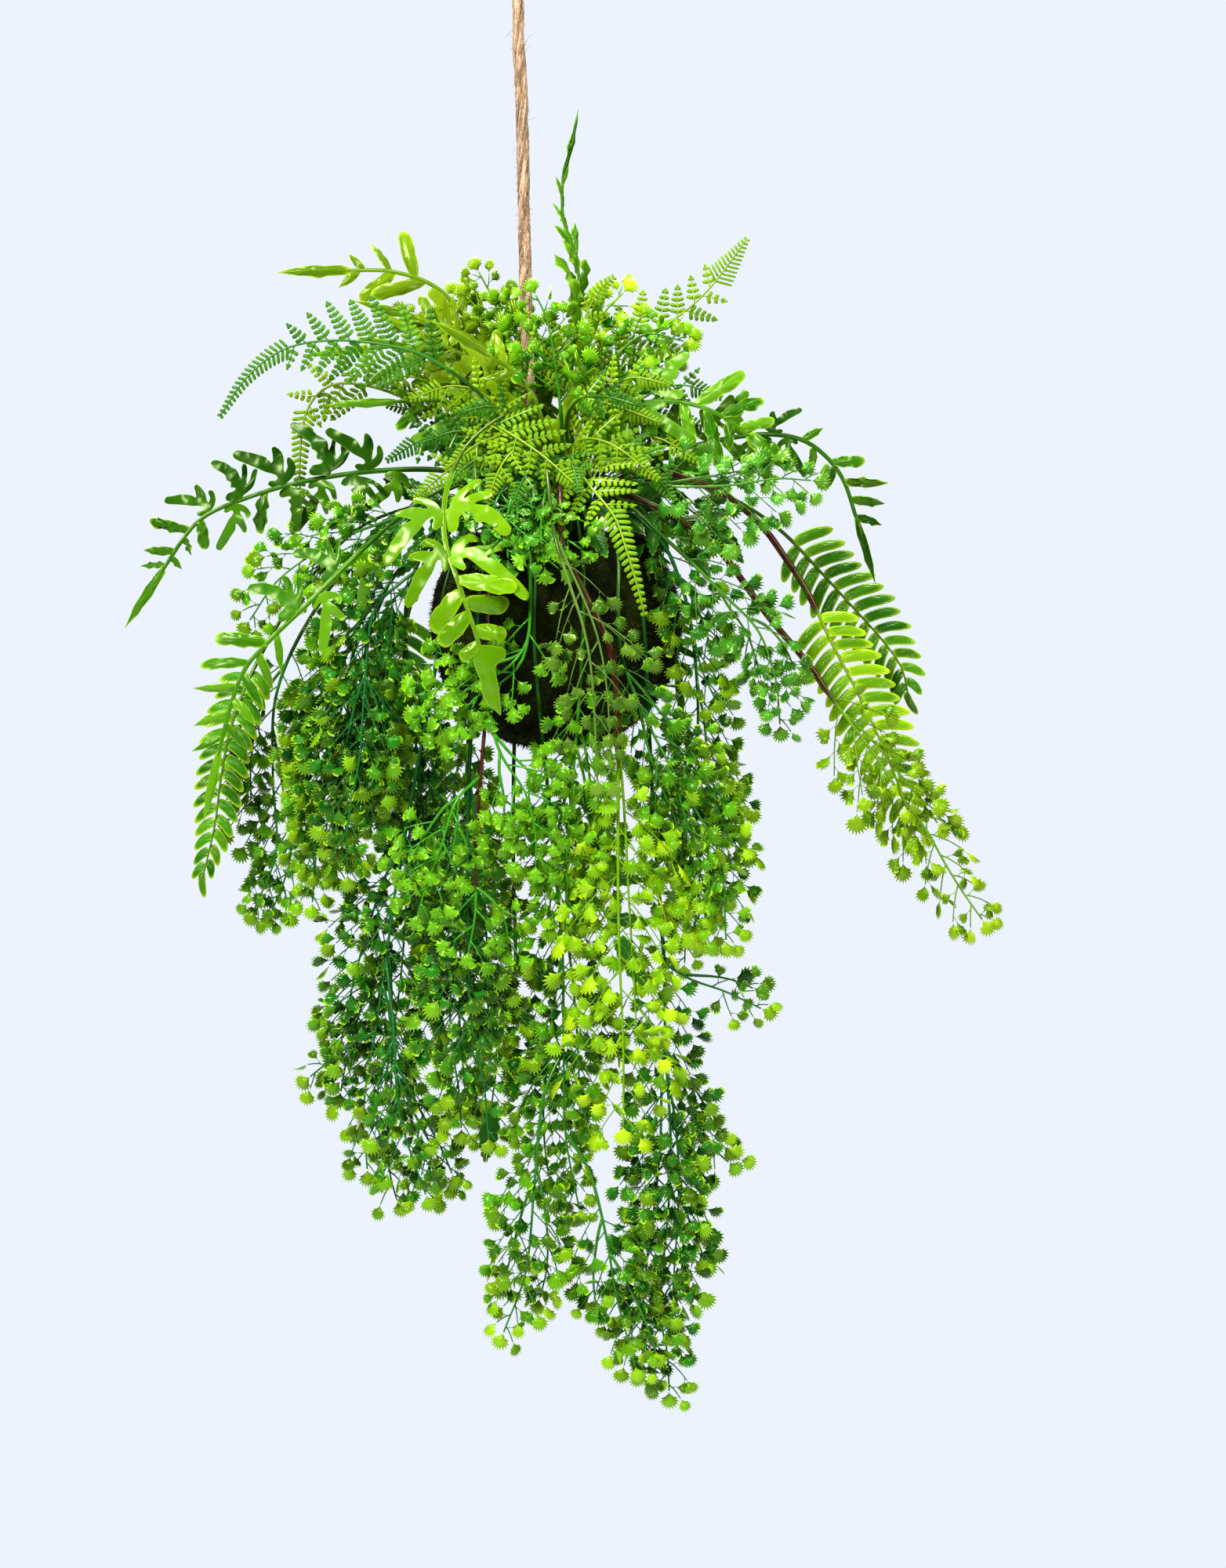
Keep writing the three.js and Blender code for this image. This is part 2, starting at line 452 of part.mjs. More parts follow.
// Where the points of a leaf lie, from the two points of the rib's edge that it grows from.
function leafPoints(sheet, low, high, here, leaf, kind, size) {
  const foot = sheet.at[low].clone().add(sheet.at[high]).multiplyScalar(0.5);
  const angle = (leaf.side === 0 ? 0 : kind.angle) * (Math.PI / 180);
  const way = here.along.clone().multiplyScalar(Math.cos(angle));
  way.addScaledVector(here.across, leaf.side * Math.sin(angle)).normalize();
  const across = here.normal.clone().cross(way);
  const outline = size.outline.map(([u, v]) => [u, leaf.side < 0 ? -v : v]);
  if (leaf.side < 0) outline.reverse();
  const free = outline.map(([u, v]) => {
    const p = foot.clone().addScaledVector(way, u * size.length).addScaledVector(across, v * size.width);
    return p.addScaledVector(here.normal, -kind.droop * size.length * u * u);
  });
  const [first, last] = leaf.side < 0 ? [low, high] : [high, low];
  const flatOf = (p) => new THREE.Vector2(p.clone().sub(foot).dot(way), p.clone().sub(foot).dot(across));
  const flat = [sheet.at[first], ...free, sheet.at[last]].map(flatOf);
  const faces = THREE.ShapeUtils.triangulateShape(flat, []).map(([a, b, c]) => (
    turnOf(flat[a], flat[b], flat[c]) > 0 ? [a, b, c] : [a, c, b]
  ));
  return { first, last, free, faces };
}

// Points spread over a leaf's faces, past its foot.
function spread(corners, faces, foot) {
  const found = [];
  for (const [a, b, c] of faces) {
    const [p, q, r] = [corners[a], corners[b], corners[c]];
    const n = Math.ceil(Math.max(p.distanceTo(q), q.distanceTo(r), r.distanceTo(p)) / sampleStep);
    for (let i = 0; i <= n; i += 1) {
      for (let j = 0; j <= n - i; j += 1) {
        const at = p.clone().multiplyScalar(1 - (i + j) / n);
        at.addScaledVector(q, i / n).addScaledVector(r, j / n);
        if (at.distanceTo(foot) > 3.4) found.push(at);
      }
    }
  }
  return found;
}

const clearOfBall = (p) => p.length() > ballKeepOff && (Math.hypot(p.x, p.y) > flatSpotRadius + 3 || p.z > -60
  || p.z < -330 || p.y < -30);

function addLeaf(sheet, low, high, here, leaf, kind, owner) {
  const scale = leaf.grown;
  const antler = kind.antler && leaf.last;
  const size = {
    outline: antler ? antlerOutline : kind.outline,
    length: scale * (leaf.side === 0 ? kind.tipLength : kind.length * (antler ? 1.2 : 1)),
    width: scale * (leaf.side === 0 ? kind.tipWidth : kind.width * (antler ? 1.9 : 1)),
  };
  for (const shrink of [1, 0.8, 0.62]) {
    const smaller = { outline: size.outline, length: size.length * shrink, width: size.width * shrink };
    const made = leafPoints(sheet, low, high, here, leaf, kind, smaller);
    const corners = [sheet.at[made.first], ...made.free, sheet.at[made.last]];
    const foot = sheet.at[low].clone().add(sheet.at[high]).multiplyScalar(0.5);
    const points = spread(corners, made.faces, foot);
    if (!points.every((p) => clearOfBall(p) && isFree(p, owner))) continue;
    const ids = made.free.map((p) => addPoint(sheet, p, here.normal, bladeHalf));
    const all = [made.first, ...ids, made.last];
    made.faces.forEach((face) => sheet.faces.push(face.map((corner) => all[corner])));
    points.forEach((p) => take(p, `${owner}/${leaf.s.toFixed(1)}/${leaf.side}`));
    return true;
  }
  return false;
}

// Where a rib needs a section: wherever it has turned far enough, and at its two ends.
function steadyStops(rib, straight) {
  const pitch = rib.length / (rib.at.length - 1);
  let last = Math.ceil(straight / pitch);
  const stops = straight > 0 ? [0, straight] : [0];
  for (let i = last + 1; i + 1 < rib.at.length; i += 1) {
    const turned = rib.along[i].angleTo(rib.along[last]) * (180 / Math.PI);
    if (turned < stemTurn && (i - last) * pitch < stemStep) continue;
    last = i;
    stops.push(i * pitch);
  }
  if (rib.length - stops[stops.length - 1] < 5 && stops.length > 1) stops.pop();
  stops.push(rib.length);
  return stops;
}

// Chains of points up both edges of a rib, with a pair where each leaf or fork grows.
function addRib(sheet, job) {
  const { rib, plan, start, kind } = job;
  const bare = rib.length - job.leafed;
  const thin = Math.min(stemHalf, job.stem);
  const grown = (s) => Math.max(0, (s - bare) / job.leafed);
  const halfAt = (s) => (s < bare - 8 ? job.stem : thin + (stemTipHalf - thin) * grown(s));
  const chains = {};
  const steady = steadyStops(rib, start ? 0 : holeDepth - 0.4);
  for (const side of [1, -1]) {
    const stops = [];
    for (const leaf of plan.filter((one) => one.side === side)) {
      const reach = (leaf.fork ? stemHalf * 2 : kind.base * (leaf.grown > 0.8 ? 1 : 0.75)) / 2;
      stops.push({ s: leaf.s - reach, leaf, part: 'low' }, { s: leaf.s + reach, leaf, part: 'high' });
    }
    const isAlone = (s, margin) => stops.every((stop) => Math.abs(stop.s - s) > margin);
    for (const leaf of plan.filter((one) => one.side === -side)) {
      if (isAlone(leaf.s, pairReach)) stops.push({ s: leaf.s });
    }
    for (const s of start ? steady.slice(1) : steady) {
      if (s === 0 || s === rib.length || isAlone(s, pairReach)) stops.push({ s });
    }
    stops.sort((a, b) => a.s - b.s);
    for (const stop of stops) {
      const here = ribAt(rib, stop.s);
      const half = halfAt(stop.s);
      const at = here.at.clone().addScaledVector(here.across, side * half);
      stop.id = addPoint(sheet, at, here.normal, half);
      if (stop.part) stop.leaf[stop.part] = stop.id;
    }
    if (start) stops.unshift({ s: 0, id: side > 0 ? start.left : start.right });
    chains[side] = stops;
  }
  let [i, j] = [0, 0];
  const [left, right] = [chains[1], chains[-1]];
  while (i + 1 < left.length || j + 1 < right.length) {
    const goLeft = j + 1 >= right.length || (i + 1 < left.length && left[i + 1].s <= right[j + 1].s);
    if (goLeft) {
      sheet.faces.push([left[i].id, right[j].id, left[i + 1].id]);
      i += 1;
    } else {
      sheet.faces.push([left[i].id, right[j].id, right[j + 1].id]);
      j += 1;
    }
  }
  job.end = { left: left[left.length - 1].id, right: right[right.length - 1].id };
}

// Lay out every rib first, so that leaves keep clear of all of them.
const holes = [];
const jobs = [];
for (const frond of fronds) {
  const [x, y] = frond.root;
  const face = V(...(frond.face ?? [0, -1, 0.22])).normalize();
  const away = V(x, y, 0).normalize();
  const backward = frond.route[frond.route.length - 1][1] > 58;
  const tipNormal = frond.face || !backward ? face : V(away.x * 0.4, 1, 0.22).normalize();
  const foot = [soilTopZ - holeDepth + 0.6, soilTopZ, soilTopZ + stemRise].map((z) => V(x, y, z));
  const points = [...foot, ...frond.route.map((p) => V(...p))];
  const kind = kinds[frond.kind];
  const rib = ribOf(points, tipNormal);
  const forks = (frond.forks ?? []).map((fork) => {
    const from = V(...frond.route[fork.at]);
    const distances = rib.at.map((p) => p.distanceTo(from));
    const nearest = distances.indexOf(Math.min(...distances));
    const s = (nearest / (rib.at.length - 1)) * rib.length;
    const here = ribAt(rib, s);
    const side = Math.sign(V(...fork.route[0]).sub(here.at).dot(here.across));
    return { ...fork, s, side, here };
  });
  const sheet = newSheet();
  const stem = frond.stem ?? stemHalf;
  const main = { frond, sheet, rib, kind, leafed: frond.leafed, forks, owner: frond.name, stem };
  jobs.push(main);
  forks.forEach((fork, i) => {
    const foot = fork.here.at.clone().addScaledVector(fork.here.across, fork.side * stemHalf);
    const forkRib = ribOf([foot, ...fork.route.map((p) => V(...p))], null, fork.here.normal);
    const owner = `${frond.name}/${i}`;
    jobs.push({
      frond, sheet, rib: forkRib, kind, leafed: fork.leafed, forks: [], fork, owner, stem: stemHalf,
    });
  });
  holes.push({
    x, y, radius: (stem + holeClearance) * Math.SQRT2, sides: 4, floorZ: soilTopZ - holeDepth,
    turn: Math.atan2(ribAt(rib, 0).across.y, ribAt(rib, 0).across.x) + Math.PI / 4,
  });
}
for (const job of jobs) {
  for (let s = 0; s <= job.rib.length; s += sampleStep) {
    const here = ribAt(job.rib, s);
    take(here.at, job.owner);
    take(here.at.clone().addScaledVector(here.across, job.stem), job.owner);
    take(here.at.clone().addScaledVector(here.across, -job.stem), job.owner);
  }
}
const ropePoints = [
  V(ropeFootX, 0, soilTopZ - holeDepth + 0.3), V(ropeFootX, 0, 60), V(-15.5, 0, 119), V(-18, 0, 187),
  V(-19.5, 0, 253), V(-20.5, 0, 305), V(-22.7, 0, 355), V(ropeTopX, 0, ropeTopZ - 0.3),
];
const ropeCurve = new THREE.CatmullRomCurve3(ropePoints);
for (let i = 0; i <= 240; i += 1) {
  const p = ropeCurve.getPointAt(i / 240);
  ringPoints(p.x, p.y, p.z, ropeKeepOff - clearance, 12).forEach((q) => take(q, 'rope'));
}

for (const job of jobs) {
  job.plan = planOf(job.rib, job.kind, job.leafed, job.forks);
  if (job.fork) {
    const parent = jobs.find((one) => one.sheet === job.sheet && !one.fork);
    const twin = parent.plan.find((one) => one.fork === job.fork);
    job.start = twin.side > 0 ? { left: twin.low, right: twin.high } : { left: twin.high, right: twin.low };
  }
  addRib(job.sheet, job);
}
for (const job of jobs) {
  const tip = { s: job.rib.length, side: 0, grown: 1, last: false };
  addLeaf(job.sheet, job.end.left, job.end.right, ribAt(job.rib, tip.s), tip, job.kind, job.owner);
}
for (const job of jobs) {
  for (const leaf of job.plan) {
    if (leaf.fork) continue;
    addLeaf(job.sheet, leaf.low, leaf.high, ribAt(job.rib, leaf.s), leaf, job.kind, job.owner);
  }
}

// Soil core with a blind hole for each stem and one for the rope
const ropeHole = {
  x: ropeFootX, y: 0, radius: ropeRadius + holeClearance, sides: 10, turn: 0, floorZ: soilTopZ - holeDepth,
};
const coreWaistZ = Math.sqrt(coreRadius ** 2 - coreMouthRadius ** 2);
const coreProfile = [
  ...ballArc(coreRadius, -coreRadius, coreWaistZ, ballInnerSteps).slice(1), [coreMouthRadius, soilTopZ],
];
addMesh('root_ball', turned(coreProfile, ballSides, 0, [...holes, ropeHole], []), finishes.soil);

// Moss skin: up the outside from the flat spot, over the rim and down the inside
const spotZ = -Math.sqrt(ballRadius ** 2 - flatSpotRadius ** 2);
const rimShoulderZ = Math.sqrt(ballRadius ** 2 - rimOuterRadius ** 2);
const innerRimZ = Math.sqrt(skinInnerRadius ** 2 - mouthRadius ** 2);
const skinProfile = [
  [0, spotZ],
  ...ballArc(ballRadius, spotZ, rimShoulderZ, ballOuterSteps),
  [(mouthRadius + rimOuterRadius) / 2, rimTopZ],
  [mouthRadius, rimTopZ - 1.5],
  ...ballArc(skinInnerRadius, -skinInnerRadius, innerRimZ, ballInnerSteps).reverse(),
];
const skinLine = skinProfile.map(([r, z]) => new THREE.Vector2(Math.max(r, 0), z));
const skin = new THREE.LatheGeometry(skinLine, ballSides);
skin.rotateX(Math.PI / 2);
addMesh('moss_skin', skin, finishes.moss);

// Rope, the knot at its upper end and the loop above the knot
addMesh('jute_cord', tube(ropePoints, ropeRadius, 10, 14), finishes.jute);
const knotProfile = [
  [knotRadius * 0.62, knotBottomZ], [knotRadius, knotBottomZ + 5], [knotRadius, knotTopZ - 5],
  [knotRadius * 0.86, knotTopZ],
];
const socket = (x, radius, floorZ) => ({ x, y: 0, radius, sides: 10, turn: 0, floorZ });
const loopSockets = [-1, 1].map((way) => socket(
  ropeTopX + way * loopHalfGap, loopTubeRadius + 0.4, knotTopZ - socketDepth,
));
const ropeSocket = [socket(ropeTopX, ropeRadius + 0.3, ropeTopZ)];
addMesh('rope_knot', turned(knotProfile, 14, ropeTopX, loopSockets, ropeSocket), finishes.jute);
const loopFootZ = knotTopZ - socketDepth + 0.3;
const loopPoints = [
  V(ropeTopX - loopHalfGap, 0, loopFootZ), V(ropeTopX - loopHalfGap, 0, knotTopZ + 7),
  V(ropeTopX - loopHalfWidth * 0.9, 0, 416), V(ropeTopX - loopHalfWidth * 0.8, 0, 427),
  V(ropeTopX, 0, loopTopZ),
  V(ropeTopX + loopHalfWidth * 0.8, 0, 427), V(ropeTopX + loopHalfWidth * 0.9, 0, 416),
  V(ropeTopX + loopHalfGap, 0, knotTopZ + 7), V(ropeTopX + loopHalfGap, 0, loopFootZ),
];
addMesh('hanging_loop', tube(loopPoints, loopTubeRadius, 8, 18), finishes.jute);

// Fern sprays, one node each
for (const frond of fronds) {
  const job = jobs.find((one) => one.frond === frond);
  addMesh(frond.name, closedSheet(job.sheet), finishes[frond.tint]);
}

export default plant;
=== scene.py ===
import contextlib
import math

import bpy
import numpy as np
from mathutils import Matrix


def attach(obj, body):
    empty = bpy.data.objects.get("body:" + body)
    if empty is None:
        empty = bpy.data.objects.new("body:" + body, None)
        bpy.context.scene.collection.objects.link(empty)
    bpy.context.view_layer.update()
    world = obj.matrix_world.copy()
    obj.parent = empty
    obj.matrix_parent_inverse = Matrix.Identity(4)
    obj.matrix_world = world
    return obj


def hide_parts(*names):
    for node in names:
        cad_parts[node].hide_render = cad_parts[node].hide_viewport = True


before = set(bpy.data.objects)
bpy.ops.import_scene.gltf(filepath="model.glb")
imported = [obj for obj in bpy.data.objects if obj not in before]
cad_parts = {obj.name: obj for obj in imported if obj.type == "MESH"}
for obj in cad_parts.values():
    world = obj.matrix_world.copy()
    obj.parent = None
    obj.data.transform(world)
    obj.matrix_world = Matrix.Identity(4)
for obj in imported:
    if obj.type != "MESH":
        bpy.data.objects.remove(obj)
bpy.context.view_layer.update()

ball_centre = np.array([0.0233, 0, -0.4292])


def metres(points):
    return np.asarray(points, float) / 1000 + ball_centre


# The camera stands level in front of the plant, far enough off that the near sprays look no larger than
# the ones behind. Its frame is 735 mm wide at the ball.
view = bpy.data.cameras.new("view")
camera_distance, frame_height, film_height = 3.2, 0.94, 36
view.lens = film_height * camera_distance / frame_height
camera = bpy.data.objects.new("camera", view)
camera.location = metres([34, 0, -95]) - [0, camera_distance, 0]
camera.rotation_euler = (math.pi / 2, 0, 0)
bpy.context.collection.objects.link(camera)
bpy.context.scene.camera = camera


# The rope: three loose yarns of jute laid together, which rise out of the soil to the knot. It is held
# taut by the ball's weight, and is thicker in some places than in others.
def run_length(line):
    # How far along a line each of its points lies
    return np.r_[0, np.cumsum(np.linalg.norm(np.diff(line, axis=0), axis=1))]


def at_stops(stops, far, values):
    return np.column_stack([np.interp(stops, far, column) for column in values.T])


def smooth_line(points, step):
    # A curve through given points, with a point at every step along it
    p = np.asarray(points, float)
    p = np.vstack([2 * p[0] - p[1], p, 2 * p[-1] - p[-2]])
    t = np.linspace(0, 1, 24, endpoint=False)[:, None]
    runs = []
    for a, b, c, d in zip(p, p[1:], p[2:], p[3:]):
        start, end = (c - a) / 2, (d - b) / 2
        runs.append((2 * t**3 - 3 * t**2 + 1) * b + (t**3 - 2 * t**2 + t) * start
                    + (3 * t**2 - 2 * t**3) * c + (t**3 - t**2) * end)
    fine = np.vstack([*runs, p[-2]])
    far = run_length(fine)
    stops = np.linspace(0, far[-1], max(3, round(far[-1] / step) + 1))
    return at_stops(stops, far, fine), stops


def unit(v):
    return v / np.maximum(np.linalg.norm(v, axis=-1, keepdims=True), 1e-12)


def tubes(lines, radii, sides, hint):
    # Closed tubes round lines, which is (how many, points on each, 3). A point's place is how far along
    # its line it lies, its turn round the line, and a number for the line
    lines = np.asarray(lines, float)
    m, n = lines.shape[:2]
    radii = np.broadcast_to(np.asarray(radii, float), (m, n))
    along = unit(np.gradient(lines, axis=1))
    out = unit(np.cross(along, np.broadcast_to(hint, lines.shape)))
    up = np.cross(along, out)
    turn = np.arange(sides) * 2 * np.pi / sides
    ring = out[:, :, None] * np.cos(turn)[:, None] + up[:, :, None] * np.sin(turn)[:, None]
    skin = lines[:, :, None] + ring * radii[:, :, None, None]
    points = np.concatenate([skin.reshape(m, n * sides, 3), lines[:, :1], lines[:, -1:]], axis=1)
    i, j = np.meshgrid(np.arange(n - 1), np.arange(sides), indexing="ij")
    k = (j + 1) % sides
    a, b, c, d = (x.ravel() for x in (i * sides + j, i * sides + k, (i + 1) * sides + k, (i + 1) * sides + j))
    j, k = np.arange(sides), (np.arange(sides) + 1) % sides
    low, high, last = np.full(sides, n * sides), np.full(sides, n * sides + 1), (n - 1) * sides
    one = np.vstack([np.c_[a, b, c], np.c_[a, c, d], np.c_[low, k, j], np.c_[high, last + j, last + k]])
    triangles = (one[None] + (np.arange(m) * points.shape[1])[:, None, None]).reshape(-1, 3)
    far = np.linalg.norm(np.diff(lines, axis=1), axis=2).cumsum(axis=1)
    far = np.concatenate([np.zeros((m, 1)), far], axis=1)
    place = np.zeros((m, n * sides + 2, 3))
    place[:, :n * sides, 0] = np.repeat(far, sides, axis=1)
    place[:, :n * sides, 1] = np.tile(turn, n)
    place[:, -1, 0] = far[:, -1]
    place[:, :, 2] = np.arange(m)[:, None] % 7
    return dict(points=points.reshape(-1, 3), triangles=triangles, place=place.reshape(-1, 3))


def spikes(foot, tip, wide):
    # Slim three-sided points, each from its foot to its tip
    way = tip - foot
    side = unit(np.cross(way, [0.31, 0.2, 0.93]))
    other = unit(np.cross(way, side))
    corners = [foot + (side * math.cos(a) + other * math.sin(a)) * wide for a in np.arange(3) * 2 * np.pi / 3]
    one = np.array([[0, 2, 1], [0, 1, 3], [1, 2, 3], [2, 0, 3]])
    triangles = (one[None] + (np.arange(len(foot)) * 4)[:, None, None]).reshape(-1, 3)
    return dict(points=np.stack([*corners, tip], axis=1).reshape(-1, 3), triangles=triangles)


def mesh_piece(name, parts, material, smooth_below=100):
    # Each part is points, triangles, then one list of three numbers a point for every attribute
    starts = np.cumsum([0] + [len(part["points"]) for part in parts])
    points = np.vstack([part["points"] for part in parts])
    triangles = np.vstack([part["triangles"] + start for part, start in zip(parts, starts)])
    mesh = bpy.data.meshes.new(name)
    mesh.vertices.add(len(points))
    mesh.vertices.foreach_set("co", points.astype(np.float32).ravel())
    mesh.loops.add(triangles.size)
    mesh.loops.foreach_set("vertex_index", triangles.astype(np.int32).ravel())
    mesh.polygons.add(len(triangles))
    mesh.polygons.foreach_set("loop_start", np.arange(0, triangles.size, 3, dtype=np.int32))
    mesh.update(calc_edges=True)
    mesh.validate()
    for key in parts[0]:
        if key not in ("points", "triangles"):
            mark = mesh.attributes.new(key, "FLOAT_VECTOR", "POINT")
            values = np.vstack([part[key] for part in parts])
            mark.data.foreach_set("vector", values.astype(np.float32).ravel())
    mesh.materials.append(material)
    piece = bpy.data.objects.new(name, mesh)
    bpy.context.collection.objects.link(piece)
    bpy.ops.object.select_all(action="DESELECT")
    piece.select_set(True)
    bpy.context.view_layer.objects.active = piece
    bpy.ops.object.shade_smooth_by_angle(angle=math.radians(smooth_below))
    return piece


class Wire:
    """A socket in a material, so that maths on it is written as plain Python."""

    def __init__(self, tree, socket=None):
        self.tree, self.socket = tree, socket

    def node(self, kind, inputs=None, out=0, stops=None, **settings):
        made = self.tree.nodes.new("ShaderNode" + kind)
        for key, value in settings.items():
            setattr(made, key, value)
        if stops:
            ramp = made.color_ramp.elements
            while len(ramp) < len(stops):
                ramp.new(0.5)
            for element, (where, colour) in zip(ramp, stops):
                element.position, element.color = where, (*colour, 1)
        for key, value in (inputs or {}).items():
            if isinstance(value, Wire):
                self.tree.links.new(value.socket, made.inputs[key])
            else:
                made.inputs[key].default_value = value
        return Wire(self.tree, made.outputs[out])

    def maths(self, operation, *values):
        return self.node("Math", dict(enumerate(values)), operation=operation)

    def __add__(self, other):
        return self.maths("ADD", self, other)

    def __sub__(self, other):
        return self.maths("SUBTRACT", self, other)

    def __rsub__(self, other):
        return self.maths("SUBTRACT", other, self)

    def __mul__(self, other):
        return self.maths("MULTIPLY", self, other)

    def __pow__(self, other):
        return self.maths("POWER", self, other)

    __radd__, __rmul__ = __add__, __mul__

    def smooth(self, low, high):
        return self.node("MapRange", {0: self, 1: low, 2: high}, interpolation_type="SMOOTHSTEP")

    def clamp(self):
        return self.node("Clamp", {0: self})

    def colours(self, first, second):
        first, second = (c if isinstance(c, Wire) else (*c, 1) for c in (first, second))
        return self.node("Mix", {0: self, 6: first, 7: second}, out=2, data_type="RGBA")

    def noise(self, scale, detail=2, roughness=0.5):
        return self.node("TexNoise", {"Vector": self, "Scale": scale, "Detail": detail, "Roughness": roughness})

    def times(self, x, y, z):
        return self.node("VectorMath", {0: self, 1: (x, y, z)}, operation="MULTIPLY")

    def axes(self):
        return [self.node("SeparateXYZ", {0: self}, out=k) for k in range(3)]

    def mark(self, name):
        return self.node("Attribute", out=1, attribute_name=name)

    def bump(self, strength, depth):
        return self.node("Bump", {"Height": self, "Strength": strength, "Distance": depth})


def finish(name, **fixed):
    material = bpy.data.materials.new(name)
    material.use_nodes = True
    shader = material.node_tree.nodes["Principled BSDF"]
    for key, value in fixed.items():
        shader.inputs[key.replace("_", " ")].default_value = value
    return material, Wire(material.node_tree), shader


def feed(shader, **wires):
    for key, wire in wires.items():
        wire.tree.links.new(wire.socket, shader.inputs[key.replace("_", " ")])


def jute_finish(name):
    material, start, shader = finish(name, Specular_IOR_Level=0.18)
    lay = start.mark("place")
    fibre = lay.times(240, 4.5, 5).noise(1, 4, 0.75)
    strand = lay.times(60, 1.2, 9).noise(1, 2)
    fleck = lay.times(900, 9, 5).noise(1, 2, 0.8)
    tone = fibre * 0.62 + strand * 0.3 + fleck * 0.2
    colour = tone.node("ValToRGB", {0: tone}, stops=[
        (0.42, (0.14, 0.068, 0.032)), (0.5, (0.33, 0.19, 0.108)), (0.57, (0.54, 0.35, 0.22)),
        (0.67, (0.82, 0.62, 0.44)),
    ])
    feed(shader, Base_Color=colour, Roughness=fibre * 0.3 + 0.68, Normal=tone.bump(0.9, 0.0012))
    return material


# A direction that no rope here runs along
sideways = [0.03, 1, 0.02]


def round_line(line):
    # Two directions square to a line, at each of its points
    along = unit(np.gradient(line, axis=0))
    out = unit(np.cross(along, sideways))
    return out, np.cross(along, out)


def yarns(line, width, count, pitch, sides, seed):
    # A rope's yarns, each wound round the line and with its own thick and thin places
    rng = np.random.default_rng(seed)
    far = run_length(line)
    out, up = round_line(line)
    made = []
    for k in range(count):
        swell = sum(np.sin(far / w + rng.uniform(0, 6.3)) for w in (0.0035, 0.0091, 0.017)) / 3
        turn = far / pitch * 2 * np.pi + k * 2 * np.pi / count + 0.25 * swell
        wound = line + (out * np.cos(turn)[:, None] + up * np.sin(turn)[:, None]) * width * 0.17
        radius = width * 0.29 * (1 + 0.22 * swell)
        yarn = tubes(wound[None], radius[None], sides, sideways)
        points, place = yarn["points"], yarn["place"]
        grain = 1 + 0.11 * np.sin(place[:, 1] * 5 + place[:, 0] * 330 + k) + rng.uniform(-0.1, 0.1, len(points))
        middle = np.vstack([np.repeat(wound, sides, axis=0), wound[:1], wound[-1:]])
        yarn["points"] = middle + (points - middle) * grain[:, None]
        place[:, 2] = k * 3.3 + seed
        made.append(yarn)
    return made


rope_width, rope_lay = 0.0076, 0.115
rope_rng = np.random.default_rng(4)
rope_points = [
    [-14, 0, 40.3], [-14, 0, 60], [-15.5, 0, 119], [-18, 0, 187], [-19.5, 0, 253], [-20.5, 0, 305],
    [-22.7, 0, 355], [-23.3, 0, 385.7],
]
rope_line, rope_stops = smooth_line(metres(rope_points), 0.0018)
jute = jute_finish("jute")
rope_parts = yarns(rope_line, rope_width, count=3, pitch=rope_lay, sides=16, seed=3)

# Single strands that lie on the yarns, each following the lay for a few centimetres.
rope_out, rope_up = round_line(rope_line)
for k in range(250):
    first = rope_rng.integers(2, len(rope_line) - 34)
    run = slice(first, first + rope_rng.integers(14, 32))
    turn = rope_stops[run] / rope_lay * 2 * np.pi + rope_rng.uniform(0, 6.3)
    turn = turn + rope_rng.uniform(-9, 9) * (rope_stops[run] - rope_stops[first])
    stand = rope_width * (0.44 + 0.05 * np.sin(rope_stops[run] * rope_rng.uniform(150, 400) + k))
    away = rope_out[run] * np.cos(turn)[:, None] + rope_up[run] * np.sin(turn)[:, None]
    lying = rope_line[run] + away * stand[:, None]
    strand = tubes(lying[None, ::2], rope_rng.uniform(0.00014, 0.00036), sides=3, hint=[0.3, 0.2, 0.9])
    strand["place"][:, 0] += rope_stops[first]
    strand["place"][:, 2] = k * 1.7
    rope_parts.append(strand)
rope = mesh_piece("rope", rope_parts, jute)

# Loose fibres that stand off the rope, finer than a hair's breadth at their tips and bent by chance.
hair_rng = np.random.default_rng(11)
hair_count = 900
hair_at = hair_rng.integers(12, len(rope_line) - 3, hair_count)
hair_turn = hair_rng.uniform(0, 2 * np.pi, hair_count)
hair_out = np.stack([np.cos(hair_turn), np.sin(hair_turn), np.zeros(hair_count)], axis=1)
hair_side = np.stack([-np.sin(hair_turn), np.cos(hair_turn), np.zeros(hair_count)], axis=1)
hair_length = hair_rng.gamma(1.5, 0.0015, hair_count).clip(0.0012, 0.0125)
hair_rise = hair_rng.uniform(-1.4, 1.4, hair_count)
hair_lines = []
for t in (0, 0.3, 0.65, 1):
    reach = hair_length * t
    stand = rope_width * 0.36 + reach * 0.5
    swing = hair_length * t * t * hair_rng.uniform(-0.6, 0.6, hair_count)
    hair_lines.append(rope_line[hair_at] + hair_out * stand[:, None] + hair_side * swing[:, None]
                      + np.array([0, 0, 1]) * (reach * hair_rise * 0.7)[:, None])
fuzz = mesh_piece("rope_fuzz", [tubes(
    np.stack(hair_lines, axis=1), np.array([0.00013, 0.00012, 0.0001, 0.00005]), sides=3, hint=[0.1, 0.2, 1],
)], jute)

